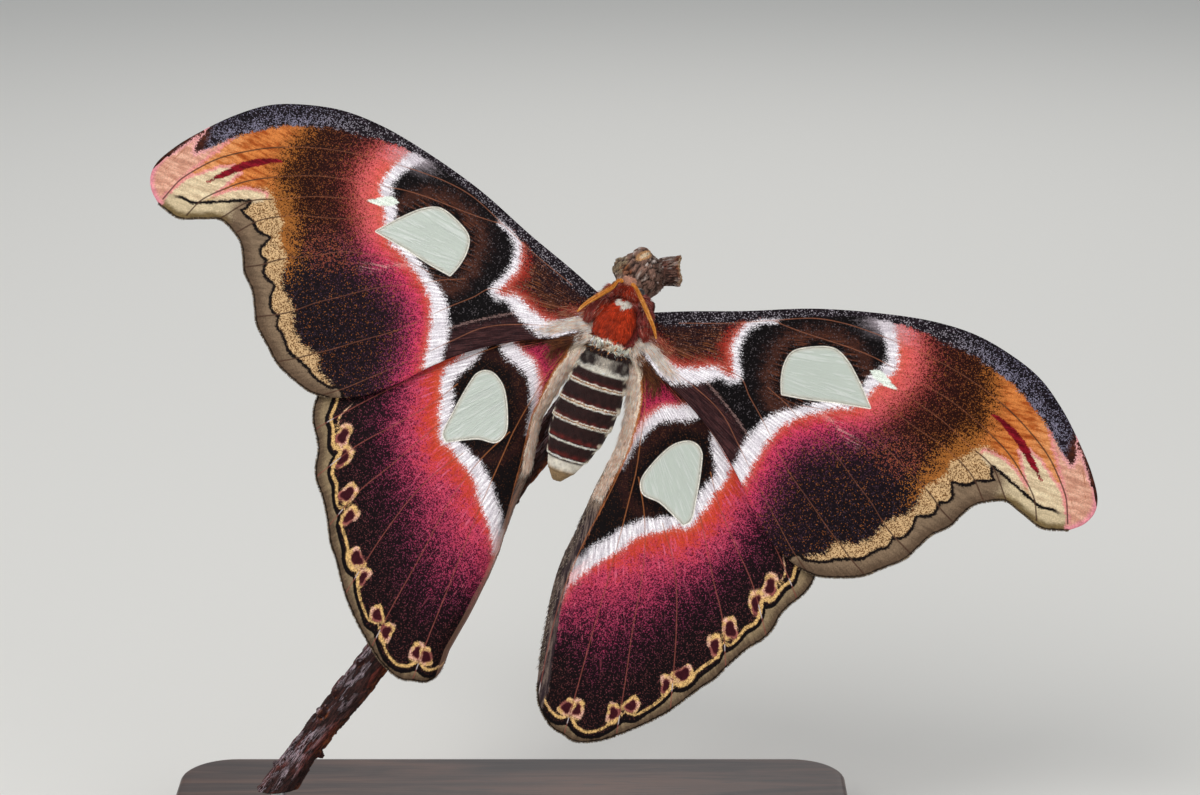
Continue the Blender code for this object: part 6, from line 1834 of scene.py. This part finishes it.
def bevelWhere(obj, choose, offset, segments):
    # bevels the edges that `choose` picks by their two ends
    shape = startEdit(obj, "EDGE")
    for edge in shape.edges:
        edge.select_set(choose(*[v.co / mm for v in edge.verts]))
    bmesh.update_edit_mesh(obj.data)
    bpy.ops.mesh.bevel(offset=offset * mm, segments=segments, profile=0.5, affect="EDGES")
    bpy.ops.object.mode_set(mode="OBJECT")


def makeStand(woodMaterial, steelMaterial):
    long, deep, thick = standShape["base"]
    bpy.ops.object.select_all(action="DESELECT")
    bpy.ops.mesh.primitive_cube_add(size=1.0, location=(0, 0, thick * mm / 2))
    base = bpy.context.object
    base.name = "stand_base_wood"
    base.scale = (long * mm, deep * mm, thick * mm)
    bpy.ops.object.transform_apply(location=True, rotation=True, scale=True)
    bevelWhere(base, lambda a, b: abs(a.z - b.z) > 5, standShape["corner"], 14)
    bevelWhere(base, lambda a, b: a.z > thick - 0.01 and b.z > thick - 0.01, standShape["edge"], 4)
    bevelWhere(base, lambda a, b: a.z < 0.01 and b.z < 0.01, standShape["footEdge"], 2)
    bpy.ops.object.shade_smooth_by_angle(angle=math.radians(35))
    base.data.materials.append(woodMaterial)
    finish(base, "base_wood", "stand_base")

    foot = twigFoot()
    bottom, top = standShape["rodBottom"], foot.z - 0.3
    bpy.ops.object.select_all(action="DESELECT")
    bpy.ops.mesh.primitive_cylinder_add(vertices=40, radius=standShape["rodRadius"] * mm,
                                        depth=(top - bottom) * mm,
                                        location=(foot.x * mm, foot.y * mm, (top + bottom) * mm / 2))
    rod = bpy.context.object
    rod.name = "stand_rod_steel"
    bpy.ops.object.transform_apply(location=True, rotation=True, scale=True)
    # a low ferrule at its foot
    wide, high = standShape["ferrule"]
    bpy.ops.object.mode_set(mode="EDIT")
    bpy.ops.mesh.select_all(action="SELECT")
    bpy.ops.mesh.bisect(plane_co=(0, 0, (bottom + high) * mm), plane_no=(0, 0, 1))
    shape = bmesh.from_edit_mesh(rod.data)
    for face in shape.faces:
        middle = face.calc_center_median() / mm
        face.select_set(middle.z < bottom + high and abs(face.normal.z) < 0.5)
    bmesh.update_edit_mesh(rod.data)
    outwards = (wide - standShape["rodRadius"]) * mm
    bpy.ops.mesh.extrude_region_shrink_fatten(TRANSFORM_OT_shrink_fatten={"value": outwards})
    bpy.ops.object.mode_set(mode="OBJECT")
    faceOutward(rod)

    def onRim(a, b):
        # round the rod's top, or round the top of the ferrule
        away = min(math.hypot(end.x - foot.x, end.y - foot.y) for end in (a, b))
        onFerrule = abs(a.z - bottom - high) < 0.01 and away > wide - 0.2
        return abs(a.z - b.z) < 0.01 and (min(a.z, b.z) > top - 0.01 or onFerrule)

    bevelWhere(rod, onRim, standShape["rodEdge"], 3)
    bpy.ops.object.shade_smooth_by_angle(angle=math.radians(35))
    rod.data.materials.append(steelMaterial)
    finish(rod, "rod_metal", "stand_rod")
    print("stand made")


def makeHorn():
    material, g, shader = startMaterial("antennaHorn")
    place = g.place()
    tint = g.ramp(g.noise(place, 1400.0, 2.0), [(0.3, "c0701c"), (0.5, "ea9a36"), (0.72, "fcc878")])
    g.feed(shader, Base_Color=tint, Roughness=0.5, Specular_IOR_Level=0.35,
           Normal=g.bump(g.noise(place, 7000.0, 1.0), 0.3, 0.00005))
    return material


def makeEyeDome():
    # small facets under a soft gloss
    material, g, shader = startMaterial("eyeDome")
    place = g.place()
    facets = g.node("ShaderNodeTexVoronoi", None, Vector=place, Scale=8500.0,
                    Randomness=0.15).outputs["Distance"]
    tint = g.ramp(g.noise(place, 900.0, 2.0), [(0.3, "120a08"), (0.55, "2a1610"), (0.8, "432417")])
    g.feed(shader, Base_Color=g.blend(g.remap(facets, 0.3, 0.6), tint, "070404"), Roughness=0.34,
           Coat_Weight=0.15, Coat_Roughness=0.3, Normal=g.bump(facets, 0.5, 0.00004, invert=True))
    return material


def makeClawHorn():
    material, g, shader = startMaterial("clawHorn")
    tint = g.ramp(g.noise(g.place(), 2600.0, 2.0), [(0.3, "1a0c08"), (0.7, "4a2415")])
    g.feed(shader, Base_Color=tint, Roughness=0.3)
    return material


def makeBark():
    # the mesh carries the bark's colour, its grain's way, and where it is fibrous and where weathered pale
    look = {"fibre": "bcaab2", "crack": "100707", "specular": 0.3, "bump": 0.9, "depth": 0.0008}
    material, g, shader = startMaterial("twigBark")
    grain = g.mark("grain", "Vector")
    fibres = g.noise(grain, 2.6, 5.0, Roughness=0.7, Distortion=0.25)
    threads = g.noise(g.stretch(grain, (0.26, 1.0, 1.0)), 9.0, 3.0, Roughness=0.6)
    grit = g.noise(g.place(), 2800.0, 3.0)
    pale = g.times(g.remap(threads, 0.47, 0.54), g.mark("weathered"))
    tint = g.blend(g.times(pale, 0.9), g.mark("coatColour", "Color"), look["fibre"])
    cracks = g.times(g.remap(threads, 0.49, 0.43), g.mark("fibrous"))
    tint = g.blend(g.times(cracks, 0.9), tint, look["crack"])
    shade = g.times(g.remap(fibres, 0.38, 0.62, 0.6, 1.5, smooth=False),
                    g.remap(grit, 0.3, 0.7, 0.75, 1.3, smooth=False))
    height = g.plus(g.plus(fibres, threads), g.times(grit, 0.4))
    g.feed(shader, Base_Color=g.shaded(tint, shade), Roughness=g.remap(fibres, 0.3, 0.7, 0.6, 0.9),
           Specular_IOR_Level=look["specular"], Normal=g.bump(height, look["bump"], look["depth"]))
    return material


def makeWood():
    # stained wood with fine pores
    material, g, shader = startMaterial("baseWood")
    place = g.place()
    figure = g.noise(g.stretch(place, (6.0, 60.0, 60.0), Rotation=(0.0, 0.05, 0.06)), 2.2, 6.0,
                     Roughness=0.62, Distortion=0.8)
    pores = g.noise(g.stretch(place, (90.0, 1500.0, 1500.0)), 1.0, 2.0)
    tint = g.ramp(figure, [(0.28, "20120b"), (0.45, "3a2114"), (0.58, "54321e"), (0.75, "6b4329")])
    g.feed(shader, Base_Color=g.blend(g.times(g.remap(pores, 0.58, 0.68), 0.6), tint, "160b06"),
           Roughness=g.remap(figure, 0.3, 0.7, 0.5, 0.36), Coat_Weight=0.25, Coat_Roughness=0.3,
           Normal=g.bump(pores, 0.35, 0.00015, invert=True))
    return material


def makeSteel():
    # brushed round the rod
    material, g, shader = startMaterial("rodSteel")
    brushed = g.noise(g.stretch(g.place(), (300.0, 300.0, 5000.0)), 1.0, 3.0)
    g.feed(shader, Base_Color=g.ramp(brushed, [(0.3, "8f8f90"), (0.7, "b9b9ba")]), Metallic=1.0,
           Roughness=g.remap(brushed, 0.3, 0.7, 0.26, 0.42), Normal=g.bump(brushed, 0.2, 0.00003))
    return material


stageShape = {
    "lens": 105.0, "sensor": 36.0, "nearest": 0.01,
    "aim": (-5.3, -19.1), "away": 740.25,  # millimetres from the thorax
    "floorSize": 14.0, "floorAt": (0, 3, 0), "floorColour": "e9e6e0", "floorRoughness": 0.9,
    # place in metres, size and power
    "lamps": {
        "keyLamp": ((-0.55, -0.75, 0.95), 0.7, 10.0),
        "fillLamp": ((0.8, -0.6, 0.45), 0.8, 3.0),
        "backLamp": ((0.1, 0.9, 0.8), 0.6, 2.5),
    },
    "lampsAim": (0.0, 0.0, 0.11),
    "skyColour": (0.9, 0.95, 1.0, 1.0), "skyStrength": 0.38,
}


def makeStage():
    scene = bpy.context.scene
    camera = addObject("camera", bpy.data.cameras.new("camera"))
    camera.data.lens = stageShape["lens"]
    camera.data.sensor_width = stageShape["sensor"]
    camera.data.clip_start = stageShape["nearest"]
    # it looks straight at the moth's back, along the lean of the display
    stand = Matrix.Translation(Vector(pose["thoraxAt"]) * mm) @ turnBy(90 - pose["leanBack"], "X")
    camera.matrix_world = stand @ Matrix.Translation(Vector((*stageShape["aim"], stageShape["away"])) * mm)
    scene.camera = camera
    bpy.ops.object.select_all(action="DESELECT")
    bpy.ops.mesh.primitive_plane_add(size=stageShape["floorSize"], location=stageShape["floorAt"])
    floor = bpy.context.object
    floor.name = "floor"
    material, g, shader = startMaterial("floorPaper")
    g.feed(shader, Base_Color=stageShape["floorColour"], Roughness=stageShape["floorRoughness"])
    floor.data.materials.append(material)
    for name, (place, size, power) in stageShape["lamps"].items():
        lamp = addObject(name, bpy.data.lights.new(name, "AREA"))
        lamp.data.size = size
        lamp.data.energy = power
        lamp.location = place
        way = Vector(stageShape["lampsAim"]) - Vector(place)
        lamp.rotation_euler = way.to_track_quat("-Z", "Y").to_euler()
    world = bpy.data.worlds.new("studio")
    world.use_nodes = True
    sky = world.node_tree.nodes["Background"].inputs
    sky["Color"].default_value = stageShape["skyColour"]
    sky["Strength"].default_value = stageShape["skyStrength"]
    scene.world = world
    scene.view_settings.view_transform = "Standard"
    print("camera, floor and lights placed")


makeStage()
scaleGroup = makeScaleGroup()
makeWings(makeForewingSkin(scaleGroup), makeHindwingSkin(scaleGroup), makeWindowSkin())
skinMaterial, coatMaterial = makeFurMaterials()
bodySkin = makeBodySkin(skinMaterial)
makeCoat(bodySkin, coatMaterial)
addWingHair(coatMaterial)
makeAntennae(makeHorn())
makeEyes(makeEyeDome())
makeClaws(makeClawHorn())
makeTwig(makeBark())
makeStand(makeWood(), makeSteel())
